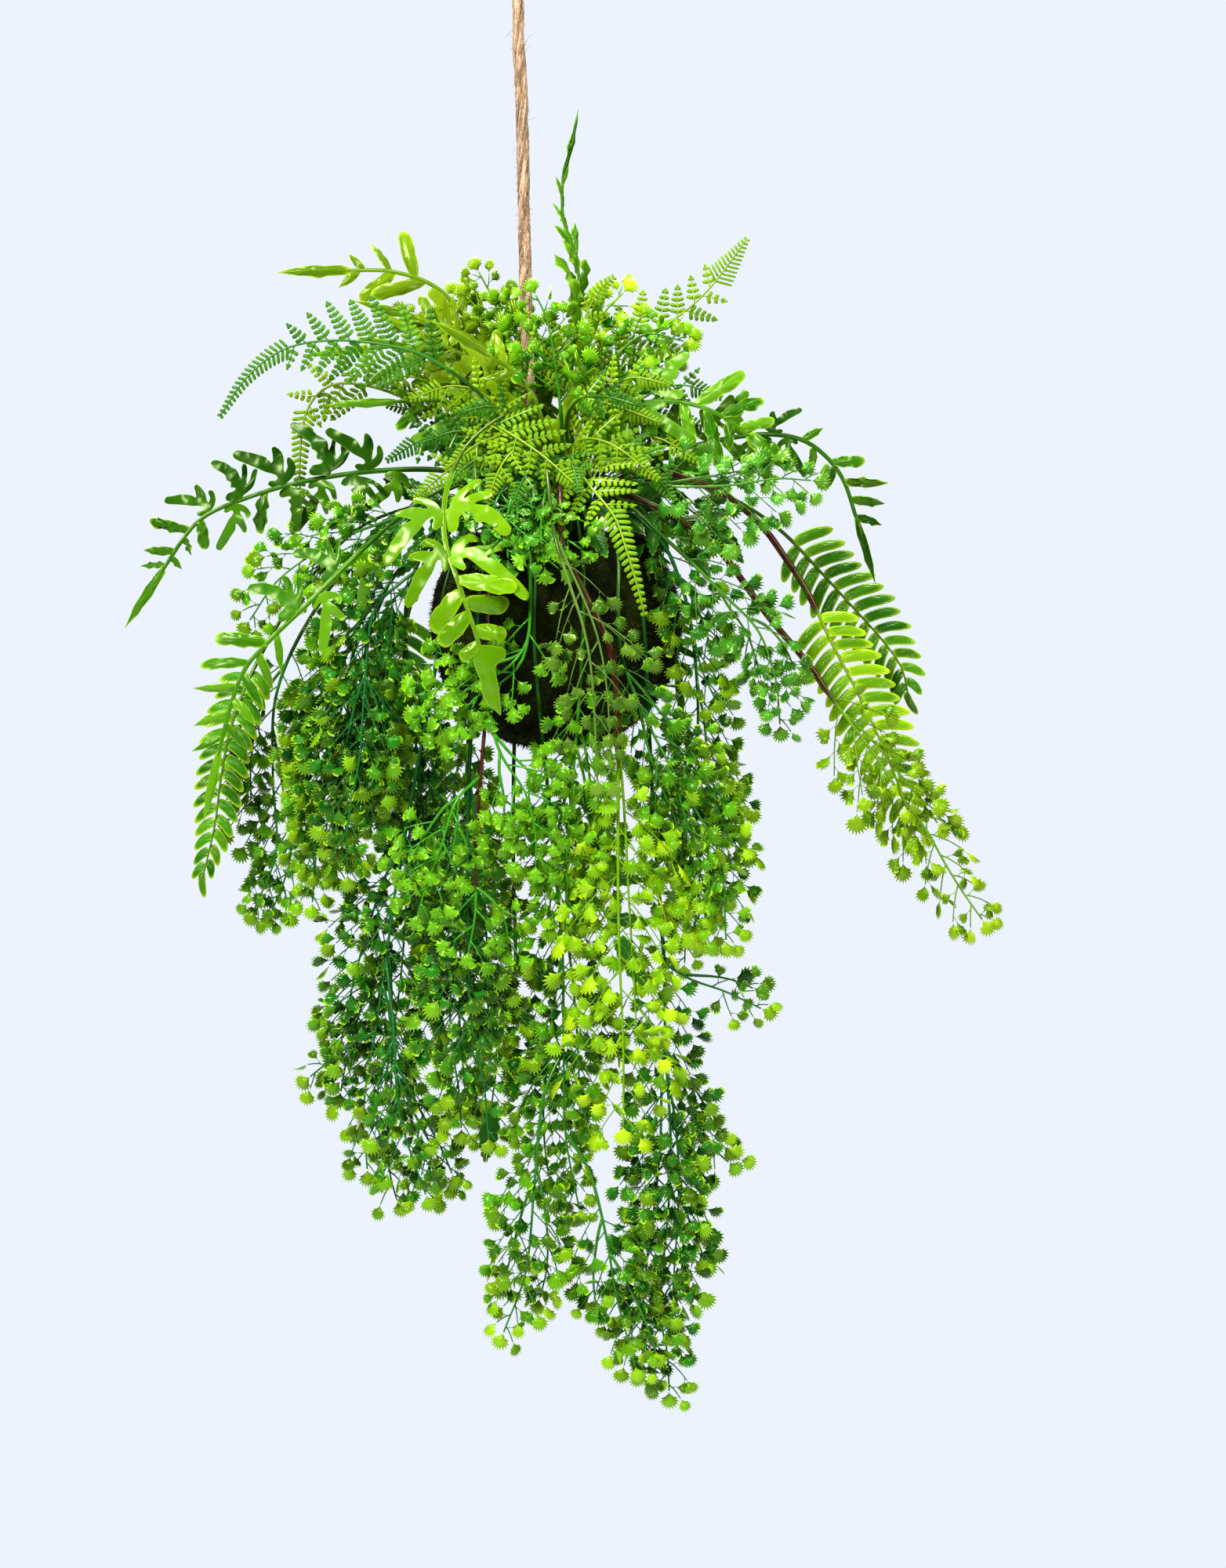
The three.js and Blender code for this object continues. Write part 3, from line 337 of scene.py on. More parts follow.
# The knot and the loop above it, made from the rope's own end: three turns drawn tight round the rope,
# then a loop of two thinner yarns that slips over a hook.
knot_width, knot_ring, knot_height, knot_turns = 0.0062, 0.0062, 0.0122, 3.1
knot_turn = np.linspace(0, knot_turns * 2 * np.pi, 130)
knot_middle = metres([-23.3, 0, 389.5])
knot_spread = knot_ring + 0.0003 * np.sin(knot_turn * 1.7)
knot_line = knot_middle + np.stack([
    knot_spread * np.cos(knot_turn), knot_spread * np.sin(knot_turn),
    (knot_turn / knot_turn[-1] - 0.5) * knot_height + 0.0008 * np.sin(knot_turn),
], axis=1)
knot_core_line, _ = smooth_line(metres([[-23.3, 0, 379.5], [-23.2, 0.4, 389], [-23.3, 0, 400.5]]), 0.001)
knot_core_width = 0.0096
knot = mesh_piece("rope_knot_turns", yarns(knot_line, knot_width, count=3, pitch=0.021, sides=10, seed=5)
                  + yarns(knot_core_line, knot_core_width, count=3, pitch=0.03, sides=12, seed=6), jute)
loop_points = [
    [-27.3, 0, 395.3], [-27.3, 0, 406], [-35, 0, 416], [-33.7, 0, 427], [-23.3, 0, 432], [-12.9, 0, 427],
    [-11.6, 0, 416], [-19.3, 0, 406], [-19.3, 0, 395.3],
]
loop_line, _ = smooth_line(metres(loop_points), 0.0008)
loop_width = 0.0056
loop = mesh_piece("loop_yarns", yarns(loop_line, loop_width, count=2, pitch=0.013, sides=10, seed=8), jute)
for piece, node in ((rope, "jute_cord"), (knot, "rope_knot"), (loop, "hanging_loop")):
    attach(piece, "root")
    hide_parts(node)
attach(fuzz, "root")

# The soil core inside the moss: packed dark earth, seen only in the mouth among the stems.
soil, start, shader = finish("soil", Specular_IOR_Level=0.25)
spot = start.node("TexCoord", out=3)
crumb = spot.noise(420, 5, 0.65)
clod = spot.node("TexVoronoi", {"Vector": spot, "Scale": 190})
feed(
    shader, Base_Color=crumb.smooth(0.3, 0.75).colours((0.012, 0.008, 0.005), (0.075, 0.046, 0.026)),
    Roughness=crumb * 0.2 + 0.75, Normal=(crumb + clod * 0.6).bump(1, 0.003),
)
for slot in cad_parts["root_ball"].material_slots:
    slot.material = soil

# The moss skin: a ball of dark moss pressed round the soil, rolled in at the mouth and flat where it can
# stand. Its grain is raised from the ball, and short leafy points stand out of it all over.
ball_radius, skin_inner, mouth_radius, rim_z, spot_z, pressed = 0.075, 0.0673, 0.05, 0.0545, -0.07071, 0.62


@contextlib.contextmanager
def edit_mode():
    bpy.ops.object.mode_set(mode="EDIT")
    yield
    bpy.ops.object.mode_set(mode="OBJECT")


def cut_above(z):
    # Cuts off what is higher than z above the ball's centre
    with edit_mode():
        bpy.ops.mesh.bisect(plane_co=ball_centre + [0, 0, z], plane_no=(0, 0, 1), clear_outer=True)


def vertex_places(piece):
    flat = np.empty(len(piece.data.vertices) * 3)
    piece.data.vertices.foreach_get("co", flat)
    return flat.reshape(-1, 3)


def taken_apart(piece):
    # The points and triangles of a shape made with the modelling tools, which is then removed. The
    # triangles are sorted, because the tool gives them in another order each time
    with edit_mode():
        bpy.ops.mesh.select_all(action="SELECT")
        bpy.ops.mesh.quads_convert_to_tris()
    triangles = np.empty(len(piece.data.polygons) * 3, dtype=np.int32)
    piece.data.polygons.foreach_get("vertices", triangles)
    points = vertex_places(piece)
    bpy.data.objects.remove(piece)
    triangles = triangles.reshape(-1, 3)
    corners = (triangles.argmin(axis=1)[:, None] + np.arange(3)) % 3
    triangles = np.take_along_axis(triangles, corners, axis=1)
    return points, triangles[np.lexsort(triangles.T)]


bpy.ops.object.select_all(action="DESELECT")
bpy.ops.mesh.primitive_ico_sphere_add(subdivisions=6, radius=ball_radius, location=ball_centre)
moss_ball = bpy.context.object
cut_above(rim_z)
bpy.ops.mesh.primitive_ico_sphere_add(subdivisions=4, radius=skin_inner, location=ball_centre)
with edit_mode():
    bpy.ops.mesh.flip_normals()
cut_above(math.sqrt(skin_inner**2 - mouth_radius**2))
moss_ball.select_set(True)
bpy.context.view_layer.objects.active = moss_ball
bpy.ops.object.join()
with edit_mode():
    bpy.ops.mesh.select_all(action="DESELECT")
    bpy.ops.mesh.select_non_manifold()
    bpy.ops.mesh.bridge_edge_loops(number_cuts=4, profile_shape_factor=0.12)
bpy.ops.object.transform_apply(location=True, rotation=True, scale=True)
moss_places = vertex_places(moss_ball)
from_centre = np.linalg.norm(moss_places - ball_centre, axis=1)
outside = (from_centre > (ball_radius + skin_inner) / 2) | (moss_places[:, 2] > ball_centre[2] + 0.046)
grown = moss_ball.vertex_groups.new(name="grown")
grown.add(np.flatnonzero(outside).tolist(), 1, "REPLACE")
for kind, size, depth in (("CLOUDS", 0.016, 0.003), ("CLOUDS", 0.0042, 0.003), ("CLOUDS", 0.0019, 0.0022)):
    relief = bpy.data.textures.new("moss_relief", kind)
    relief.noise_scale = size
    press = moss_ball.modifiers.new("grain", "DISPLACE")
    press.texture, press.strength, press.mid_level, press.vertex_group = relief, depth, 0.55, "grown"
    bpy.ops.object.modifier_apply(modifier=press.name)
moss_places, moss_faces = taken_apart(moss_ball)
lowest = ball_centre[2] + spot_z
below = np.minimum(moss_places[:, 2] - lowest, 0)
moss_places[:, 2] -= np.where(outside, below * pressed, 0)

# The moss's leafy points, each a slim three-sided spike that leans its own way.
moss_rng = np.random.default_rng(21)
spike_at = unit(moss_rng.normal(size=(15000, 3)))
spike_at = spike_at[spike_at[:, 2] < 0.74]
moss_count = len(spike_at)
spike_foot = ball_centre + spike_at * (ball_radius - 0.0014)
spike_foot[:, 2] -= np.minimum(spike_foot[:, 2] - lowest, 0) * pressed
spike_way = unit(spike_at + moss_rng.normal(size=(moss_count, 3)) * 0.6)
moss_points = spikes(
    spike_foot, spike_foot + spike_way * moss_rng.uniform(0.0024, 0.005, (moss_count, 1)),
    moss_rng.uniform(0.0003, 0.00062, (moss_count, 1)),
)
moss_points["tip"] = np.zeros_like(moss_points["points"])
moss_points["tip"][:, 0] = np.tile([0, 0, 0, 1], moss_count)
moss_points["tip"][:, 1] = np.repeat(moss_rng.uniform(0, 1, moss_count), 4)
moss, start, shader = finish("moss", Specular_IOR_Level=0.05)
spot = start.node("TexCoord", out=3)
tip, chance, _ = start.mark("tip").axes()
patch = spot.noise(38, 3, 0.6)
grain = spot.noise(650, 4, 0.75)
speck = grain.smooth(0.56, 0.7)
# The moss is painted near-black where lit is low, a painted shade down among the points, and paler toward the
# tips of some points, a painted highlight; both tones vary in patches at random, and the paler specks are
# random
shaded_moss = patch.smooth(0.38, 0.66).colours((0.0035, 0.0055, 0.0008), (0.013, 0.019, 0.002))
lit_moss = patch.smooth(0.35, 0.7).colours((0.075, 0.1, 0.008), (0.2, 0.24, 0.03))
lit = (speck * 0.35 + tip * chance**2 * 0.8).clamp()
feed(shader, Base_Color=lit.colours(shaded_moss, lit_moss), Roughness=grain * 0.15 + 0.8, Normal=grain.bump(1, 0.0016))
coat = mesh_piece("moss_coat", [
    dict(points=moss_places, triangles=moss_faces, tip=np.zeros_like(moss_places)), moss_points,
], moss, 180)
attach(coat, "root")
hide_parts("moss_skin")


# The maidenhair fronds: wiry stems with short side twigs, and on each twig a few small fan-shaped leaflets
# with sharp pale teeth. Leaf and stem are moulded in one, so a frond is one piece.
def leaf_blank(outline, rings, centre, thick, dome=0.0, pleat=0.0, fold=0.0, edge=None):
    # A leaf's shape pressed from a flattened ball: outline has a point for each of its sides
    bpy.ops.object.select_all(action="DESELECT")
    bpy.ops.mesh.primitive_uv_sphere_add(segments=len(outline), ring_count=rings, radius=1)
    points, triangles = taken_apart(bpy.context.object)
    outline = np.asarray(outline, float)
    turn = np.round(np.arctan2(points[:, 1], points[:, 0]) / (2 * np.pi) * len(outline)).astype(int)
    turn = turn % len(outline)
    out = np.hypot(points[:, 0], points[:, 1])
    spread = np.where(out < 0.01, 0, out**0.9)
    flat = np.asarray(centre) + (outline[turn] - centre) * spread[:, None]
    rise = points[:, 2] * thick - dome * spread**2 + pleat * np.where(turn % 2 == 0, -1, 1) * (spread > 0.9)
    rise -= fold * np.abs(flat[:, 1])
    edge = spread**2.5 if edge is None else np.where(spread > 0.5, np.asarray(edge)[turn], 0)
    return dict(points=np.column_stack([flat, rise]), triangles=triangles, edge=edge)


def mirrored(blank):
    return {**blank, "points": blank["points"] * [1, -1, 1], "triangles": blank["triangles"][:, ::-1]}


def copies(blank, foot, way, normal, length, width, lime=0, droop=0, curl=0, ripple=0, shade=0):
    # Many leaves from one blank. droop bends each down its length, curl folds it across and ripple
    # waves its rim
    foot, way, normal = (np.atleast_2d(v) for v in (foot, way, normal))
    m, k = len(foot), len(blank["points"])
    length, width, lime, droop, curl, ripple, shade = (
        np.broadcast_to(np.asarray(v, float), (m,))[:, None]
        for v in (length, width, lime, droop, curl, ripple, shade))
    way = unit(way)
    normal = unit(normal - way * np.sum(normal * way, axis=1, keepdims=True))
    across = np.cross(normal, way)
    x, y, z = blank["points"].T
    rise = z * np.sqrt(length * width) - droop * length * x**2 - curl * width * (2 * y) ** 2 * 0.5
    rise += ripple * width * np.sin(x * 17 + y * 4 + shade * 9) * np.minimum(1, np.abs(2 * y)) ** 1.3
    points = foot[:, None] + way[:, None] * (x * length)[:, :, None] + across[:, None] * (y * width)[:, :, None]
    points = points + normal[:, None] * rise[:, :, None]
    place = np.stack([np.tile(x, (m, 1)), np.tile(y, (m, 1)), np.tile(shade, (1, k))], axis=2)
    look = np.stack([np.tile(blank["edge"], (m, 1)), np.tile(lime, (1, k)), np.zeros((m, k))], axis=2)
    triangles = (blank["triangles"][None] + (np.arange(m) * k)[:, None, None]).reshape(-1, 3)
    return dict(points=points.reshape(-1, 3), triangles=triangles, place=place.reshape(-1, 3),
                look=look.reshape(-1, 3))


def stalks(lines, radii, sides, hint, bark):
    part = tubes(lines, radii, sides, hint)
    part["look"] = np.zeros_like(part["points"])
    part["look"][:, 2] = bark
    return part


def petioles(foot, tip, wide):
    part = spikes(foot, tip, wide)
    part["place"] = np.zeros_like(part["points"])
    part["look"] = np.tile([0.0, 0, 1], (len(part["points"]), 1))
    return part


class Rib:
    """A stem's line with its directions: along it, across the leaves' plane and out of that plane."""

    def __init__(self, points, tip_normal=None, start_normal=None):
        self.at, self.stops = smooth_line(points, 0.002)
        self.length = self.stops[-1]
        self.along = unit(np.gradient(self.at, axis=0))
        order = range(len(self.at)) if tip_normal is None else range(len(self.at) - 1, -1, -1)
        normal = np.asarray(start_normal if tip_normal is None else tip_normal, float)
        self.normal = np.empty_like(self.at)
        for i in order:
            normal = unit(normal - self.along[i] * normal.dot(self.along[i]))
            self.normal[i] = normal
        self.across = np.cross(self.normal, self.along)

    def here(self, s):
        at, *ways = (at_stops(s, self.stops, v) for v in (self.at, self.along, self.normal, self.across))
        return at, *(unit(way) for way in ways)

    def spot(self, s):
        return [v[0] for v in self.here([s])]


# In mm: the heights at which a stem stands in its hole in the soil, and how far behind the ball's centre a
# frond's tip hangs whose leaves face the back
hole_heights, behind_ball = (40.6, 52, 60), 58


class Spray:
    """One frond while it is made: its ribs, and the stems and leaves gathered on them."""

    def __init__(self, name, root, leafed, route, stem=1.15, face=None, forks=(), bark=1.2, extra=False,
                 slot=None):
        # route and root are in mm, as is leafed, the length from the tip that has leaves. extra sprays have
        # no solid, and slot is not used
        self.name, self.parts, self.extra, self.slot, self.stem, self.bark = name, [], extra, slot, stem, bark
        x, y = root
        if face is None:
            # The leaves face the front, or the back where the frond ends behind the ball
            away = unit(np.array([x, y, 0.0]))
            face = (away[0] * 0.4, 1, 0.22) if route[-1][1] > behind_ball else (0, -1, 0.22)
        foot = [[x, y, z] for z in hole_heights]
        rib = Rib(metres(foot + list(route)), tip_normal=unit(np.array(face, float)))
        self.rng = np.random.default_rng(sum(map(ord, name)))
        self.ribs = [(rib, leafed / 1000)]
        for at, fork_route, fork_leafed in forks:
            nearest = np.argmin(np.linalg.norm(rib.at - metres(route[at]), axis=1))
            side = np.sign((metres(fork_route[0]) - rib.at[nearest]).dot(rib.across[nearest]))
            start = (rib.at[nearest] + rib.across[nearest] * side * 0.0003 - ball_centre) * 1000
            fork = Rib(metres([start.tolist(), *fork_route]), start_normal=rib.normal[nearest])
            self.ribs.append((fork, fork_leafed / 1000))

    def sisters(self, count, apart, back, start=(0.55, 1.15), end=(0.0, 0.45)):
        # Thinner stems that leave each rib part way down and hang beside and behind it
        clear_of_ball = 0.0815
        for rib, leafed in list(self.ribs):
            for k in range(round(count * min(1, leafed / 0.1))):
                low = max(0.03 * rib.length, rib.length - leafed * self.rng.uniform(*start))
                high = rib.length - leafed * self.rng.uniform(*end)
                if high - low < 0.03:
                    continue
                at, along, normal, across = rib.here(np.linspace(low, high, 7))
                off = (1 if k % 2 == 0 else -1) * self.rng.uniform(0.35, 1) * apart / 1000
                deep = self.rng.uniform(0.1, 1) * back / 1000
                ease = np.sin(np.linspace(0, np.pi / 2, 7))[:, None] ** 0.8
                line = at + (across * off - normal * deep) * ease - ball_centre
                far = np.linalg.norm(line, axis=1, keepdims=True)
                line = line * np.maximum(1, clear_of_ball / far) + ball_centre
                turned = unit(normal[-1] + across[-1] * self.rng.uniform(-0.5, 0.5))
                sister = Rib(line, tip_normal=turned)
                self.ribs.append((sister, sister.length - 0.012))

    def draw_stems(self, short=0.0):
        # Radii are in mm. short is how much of the tip, in mm, a leaf takes the place of. A stout stem
        # steps down to a slim one where its leaves start
        side_stem, thin_end, stout, slim, slims_by = 0.95, 0.5, 1.5, 1.05, 0.5
        for k, (one, bare_end) in enumerate(self.ribs):
            thick = self.stem if k == 0 else side_stem
            grown = ((one.stops - (one.length - bare_end)) / bare_end).clip(0, 1)
            radius = np.where(grown <= 0, thick, thick - (thick - thin_end) * grown**0.6) / 1000
            if self.stem > stout and k == 0:
                radius = np.where(grown <= 0, thick, slim - slims_by * grown) / 1000
            last = np.searchsorted(one.stops, one.length - short / 1000, side="right") - 1
            keep = np.unique(np.r_[np.arange(0, last, 3), last])
            # The bare foot of a main stem, below its leaves, takes the frond's own level: from 1.02 up it is
            # painted darker, a painted shade, and from 1.3 up it turns dark red, the stalk's own colour
            wood = np.repeat(np.where((grown > 0.02) | (k > 0), 1.0, self.bark)[keep], 6)
            part = stalks(one.at[None, keep], radius[None, keep], 6, one.normal[None, keep], 1)
            part["look"][:-2, 2] = wood
            part["look"][-2:, 2] = (wood[0], wood[-1])
            self.parts.append(part)

    def add(self, part):
        self.parts.append(part)

    def done(self, material, slot, smooth_below=100):
        piece = mesh_piece(self.name + "_frond", self.parts, material, smooth_below)
        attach(piece, "root")
        if not self.extra:
            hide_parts(self.name)
        "leaf_" + (self.slot or slot)


def leaf_finish(name, deep, bright, rim, stem, veins, rough=0.34, rim_from=0.72, vein_tone=0.16, swell=0.0,
                shine=0.3):
    # A moulded leaf: two greens that vary from leaf to leaf, a paler rim, veins pressed into it, and for a
    # broad leaf an uneven blade
    material, start, shader = finish(name, Specular_IOR_Level=shine, Specular_Tint=(0.8, 1, 0.42, 1))
    along, side, chance = start.mark("place").axes()
    edge, lime, wood = start.mark("look").axes()
    spot = start.node("TexCoord", out=3)
    mottle = spot.noise(160, 3, 0.6)
    patch = spot.noise(22, 2)
    if veins == "fan":
        turn = start.maths("ARCTAN2", side, along + 0.06)
        vein = start.maths("SINE", turn * 30) * 0.5 + 0.5
    else:
        slant = start.maths("ABSOLUTE", side) * (0.9 if veins == "comb" else 0.6)
        rows = start.maths("SINE", (along - slant) * (95 if veins == "comb" else 60)) * 0.25 + 0.25
        middle = 1 - start.maths("ABSOLUTE", side).smooth(0.0, 0.07)
        vein = middle * 0.6 if veins == "smooth" else start.maths("MAXIMUM", rows, middle)
    leafy = 1 - wood.smooth(0.2, 0.6)
    shade = (mottle * 0.5 + patch * 0.9 + chance * 1.3 - 0.92).clamp()
    blade = shade.colours(deep, bright)
    darker = tuple(c * 0.55 for c in deep)
    blade = (vein * vein_tone).colours(blade, darker if veins == "fan" else bright)
    rimmed = (edge.smooth(rim_from, 1.0) * 0.85 + lime).clamp()
    blade = rimmed.colours(blade, rim)
    # Stems: bare ones are painted darker, a painted shade, and those at 1.3 and above turn dark red, the
    # stalk's own colour; the darker patches after that vary at random
    bark = wood.smooth(1.02, 1.2).colours(stem, tuple(c * 0.4 for c in stem))
    bark = wood.smooth(1.3, 1.8).colours(bark, (0.045, 0.006, 0.009))
    bark = (mottle.smooth(0.4, 0.7) * 0.35).colours(bark, tuple(c * 0.5 for c in stem))
    pressed_in = 0.3 if veins in ("fan", "smooth") else 0.8
    relief = vein * leafy * pressed_in + mottle * 0.3 + spot.noise(80, 1) * swell
    feed(
        shader, Base_Color=leafy.colours(bark, blade), Roughness=mottle * 0.16 + (rough - 0.2),
        Normal=relief.bump(0.6, 0.0006),
    )
    return material


def fan_leaf(half, thick, dome, fold):
    # A toothed leaf from half its outline, tip first: every other point of it is a sharp tooth
    outline = half + [[-0.01, 0]] + [[x, -y] for x, y in half[:0:-1]]
    edge = [1.0 if i % 2 == 0 else 0.8 for i in range(len(half) - 1)] + [0.3]
    return leaf_blank(outline, 2, (0.48, 0), thick, dome, pleat=0.015, fold=fold,
                      edge=edge + [0.2] + edge[:0:-1])


wedge = fan_leaf([
    [1.09, 0], [0.82, 0.06], [1.05, 0.24], [0.74, 0.2], [0.94, 0.47], [0.64, 0.34], [0.74, 0.6], [0.5, 0.38],
    [0.49, 0.55], [0.35, 0.27], [0.12, 0.05]], thick=0.02, dome=0.03, fold=0.14)
cog = fan_leaf([
    [1.09, 0], [0.85, 0.07], [1.05, 0.21], [0.79, 0.2], [0.96, 0.41], [0.72, 0.34], [0.81, 0.56], [0.59, 0.42],
    [0.59, 0.64], [0.44, 0.4], [0.35, 0.51], [0.27, 0.25], [0.1, 0.05]], thick=0.02, dome=0.04, fold=0.1)


def maidenhair(name, tint, root, leafed, route, sisters=(2, 15, 14), leaf=1.0, step=7.0, reach=1.06, apart=5.8,
               **more):
    # step is the way in mm from twig to twig on the rib, reach stretches the twigs, and apart is the way in
    # mm from leaf to leaf on them. sisters is how many side stems a rib has, and in mm how far they stand
    # beside it and behind it. Twigs reach their full length at grown_after from the tip
    spray = Spray("maidenhair_" + name, root, leafed, route, **more)
    spray.sisters(*sisters)
    spray.draw_stems()
    rng = spray.rng
    finish_name, lime_share = tint
    step, apart = step / 1000, apart / 1000
    twig_short, twig_grows, grown_after, young_for, leaf_stalk = 0.0055, 0.0175, 0.075, 0.03, 0.0004
    for rib, bare_end in spray.ribs:
        for k in range(int(bare_end * 1.04 / step)):
            s = rib.length - (k + 0.55) * step
            if s < 0.03:
                break
            side = 1 if k % 2 == 0 else -1
            at, along, normal, across = rib.spot(s)
            age = min(1, (k + 1) * step / grown_after)
            young = math.exp(-k * step / young_for)
            long = (twig_short + twig_grows * age) * rng.uniform(0.75, 1.25) * reach
            lean = math.radians(rng.uniform(36, 58))
            lift = rng.uniform(-0.45, 0.1 if at[1] < -0.088 else 0.5)
            way = unit(along * math.cos(lean) + across * side * math.sin(lean) + normal * lift)
            t = np.linspace(0, 1, 4)[:, None]
            bend = along * 0.2 + np.array([0, 0, -0.16])
            twig = at + way * long * t + bend * long * t**2
            spray.add(stalks(twig[None], np.linspace(0.00058, 0.0004, 4)[None], 3, normal, 1))
            leaves = int(long / apart)
            places = np.linspace(0.16 + 0.16 * rng.random(), 0.88, leaves)
            twig_way = unit(way + bend * 2 * places[:, None])
            foot = at + way * long * places[:, None] + bend * long * places[:, None] ** 2
            flip = np.where(np.arange(leaves) % 2 == 0, 1, -1)[:, None] * side
            plane = unit(np.cross(way, np.cross(normal, way)))
            stalk_way = unit(twig_way * 0.66 + np.cross(plane, twig_way) * flip * 0.75
                             + rng.normal(size=(leaves, 3)) * 0.14)
            ends = foot + stalk_way * rng.uniform(0.0018, 0.0034, (leaves, 1)) * leaf
            tip_way = unit(way + bend * 2)
            feet = np.vstack([ends, twig[-1:]])
            ways = np.vstack([unit(stalk_way + twig_way * 0.25), tip_way[None]])
            size = np.r_[rng.uniform(0.009, 0.0128, leaves), rng.uniform(0.0108, 0.0142)] * leaf
            size *= 0.76 + 0.24 * age
            tilt = rng.normal(size=(leaves + 1, 3)) * np.where(rng.random((leaves + 1, 1)) < 0.28, 1.1, 0.5)
            lime = np.r_[rng.uniform(-0.1, 0.12, leaves) + 0.3 * young,
                         rng.uniform(-0.2, 0.75) + 0.4 * young].clip(0, 0.95) * lime_share
            broad = np.r_[rng.uniform(0.74, 0.98, leaves), rng.uniform(0.82, 1.0)]
            if leaves:
                spray.add(petioles(foot, ends + stalk_way * 0.002, leaf_stalk))
            round_ones = np.r_[rng.random(leaves) < (0.45 if finish_name == "lime" else 0.1), [True]]
            for blank, chosen in ((wedge, ~round_ones), (cog, round_ones)):
                if chosen.any():
                    n = int(chosen.sum())
                    spray.add(copies(
                        blank, feet[chosen], ways[chosen], (normal + tilt)[chosen], size[chosen],
                        (size * broad)[chosen], lime[chosen], droop=rng.uniform(-0.04, 0.14, n),
                        curl=rng.uniform(-0.1, 0.25, n), shade=rng.random(n)))
        at, along, normal, across = rib.spot(rib.length)
        spray.add(copies(cog, at, along, normal, 0.0115 * leaf, 0.0108 * leaf, 0.75 * lime_share, droop=0.1,
                         shade=rng.random()))
    slot = {"vivid": "mid", "blue": "mid", "gold": "lime"}.get(finish_name, finish_name)
    spray.done(maidenhair_finishes[finish_name], slot, 130)


def finishes(kind, rows, veins, **settings):
    # One finish for each row: its name, then the deep and bright greens, the rim and the stem
    return {name: leaf_finish(f"{kind}_{name}", *greens, veins, **settings) for name, *greens in rows}


maidenhair_finishes = finishes("maidenhair", (
    ("lime", (0.09, 0.26, 0.001), (0.23, 0.46, 0.003), (0.42, 0.62, 0.008), (0.13, 0.3, 0.004)),
    ("vivid", (0.02, 0.14, 0.001), (0.11, 0.36, 0.003), (0.3, 0.56, 0.006), (0.035, 0.19, 0.006)),
    ("mid", (0.004, 0.06, 0.001), (0.06, 0.27, 0.003), (0.33, 0.58, 0.006), (0.025, 0.15, 0.014)),
    ("deep", (0.001, 0.032, 0.001), (0.014, 0.17, 0.006), (0.3, 0.56, 0.006), (0.013, 0.12, 0.022)),
    ("grey", (0.025, 0.09, 0.004), (0.09, 0.2, 0.012), (0.2, 0.38, 0.02), (0.09, 0.18, 0.025)),
    ("blue", (0.008, 0.085, 0.004), (0.05, 0.24, 0.014), (0.22, 0.46, 0.025), (0.05, 0.18, 0.015)),
    ("gold", (0.04, 0.12, 0.001), (0.16, 0.31, 0.003), (0.31, 0.48, 0.008), (0.1, 0.23, 0.004)),
), "fan")

# Each tint is a finish and how lime the young leaves get.
lime, vivid, mid, deep = ("lime", 1.0), ("vivid", 0.7), ("mid", 0.7), ("deep", 0.6)
grey, blue, gold = ("grey", 0.35), ("blue", 0.35), ("gold", 0.8)
plain_gold, plain_vivid, plain_mid = ("gold", 0.3), ("vivid", 0.3), ("mid", 0.35)
maidenhair("front_lime", lime, [2.3, -25.9], 215, [
    [2, -50, 84], [3, -78, 72], [5, -96, 42], [18, -101, 15], [32, -99, -15], [36, -96, -45], [37, -94, -75],
    [37, -92, -113], [37, -92, -160], [38, -92, -200], [40, -92, -250], [40, -90, -294]], stem=2, bark=2,
    sisters=(1, 16, 8), leaf=1.12, step=9.4, reach=1.55, apart=8.6)
maidenhair("grey", grey, [-9, -15.6], 130, [
    [-8, -40, 98], [-5, -76, 88], [0, -105, 50], [9, -112, 20], [17, -113, -5], [22, -112, -35],
    [25, -110, -92]], sisters=(1, 16, 4), leaf=0.95, step=15, reach=1.3, apart=9.5)
maidenhair("right_front", mid, [14.4, -30.8], 175, [
    [22, -46, 72], [30, -64, 64], [37, -82, 38], [37, -88, 10], [39, -88, -20], [50, -86, -50],
    [65, -85, -80], [85, -84, -115], [97, -84, -140], [100, -84, -186]], sisters=(5, 28, 14))
maidenhair("lowest", deep, [22.3, -35.6], 240, [
    [29, -46, 66], [39, -60, 54], [48, -70, 25], [52, -71, 0], [55, -68, -60], [59, -64, -130],
    [64, -62, -200], [65, -60, -250], [68, -60, -320], [62, -60, -400], [66, -60, -430], [67, -60, -452]],
    forks=[(6, [[80, -62, -210], [100, -62, -217], [121, -62, -227]], 60),
           (7, [[76, -56, -274], [86, -54, -302], [102, -52, -318]], 60),
           (8, [[76, -60, -344], [88, -60, -375]], 44)], sisters=(2, 12, 12))
maidenhair("bottom_mid", mid, [-5.1, -41.7], 190, [
    [-7, -56, 66], [-9, -72, 54], [-11, -84, 25], [-12, -86, -10], [-8, -82, -60], [-2, -74, -120],
    [4, -68, -190], [5, -66, -250], [6, -64, -300], [14, -64, -344]], sisters=(2, 14, 12),
    forks=[(8, [[20, -70, -322], [30, -72, -360], [36, -72, -395], [47, -72, -436]], 100),
           (7, [[-7, -72, -280], [-12, -74, -330], [-17, -74, -380], [-30, -74, -416]], 110)])
maidenhair("centre_left", deep, [-19.7, -37.1], 190, [
    [-26, -48, 66], [-34, -62, 56], [-43, -72, 25], [-46, -75, -10], [-49, -74, -60], [-51, -72, -120],
    [-51, -72, -180], [-49, -72, -235], [-42, -72, -268], [-39, -72, -302]], sisters=(3, 18, 14))
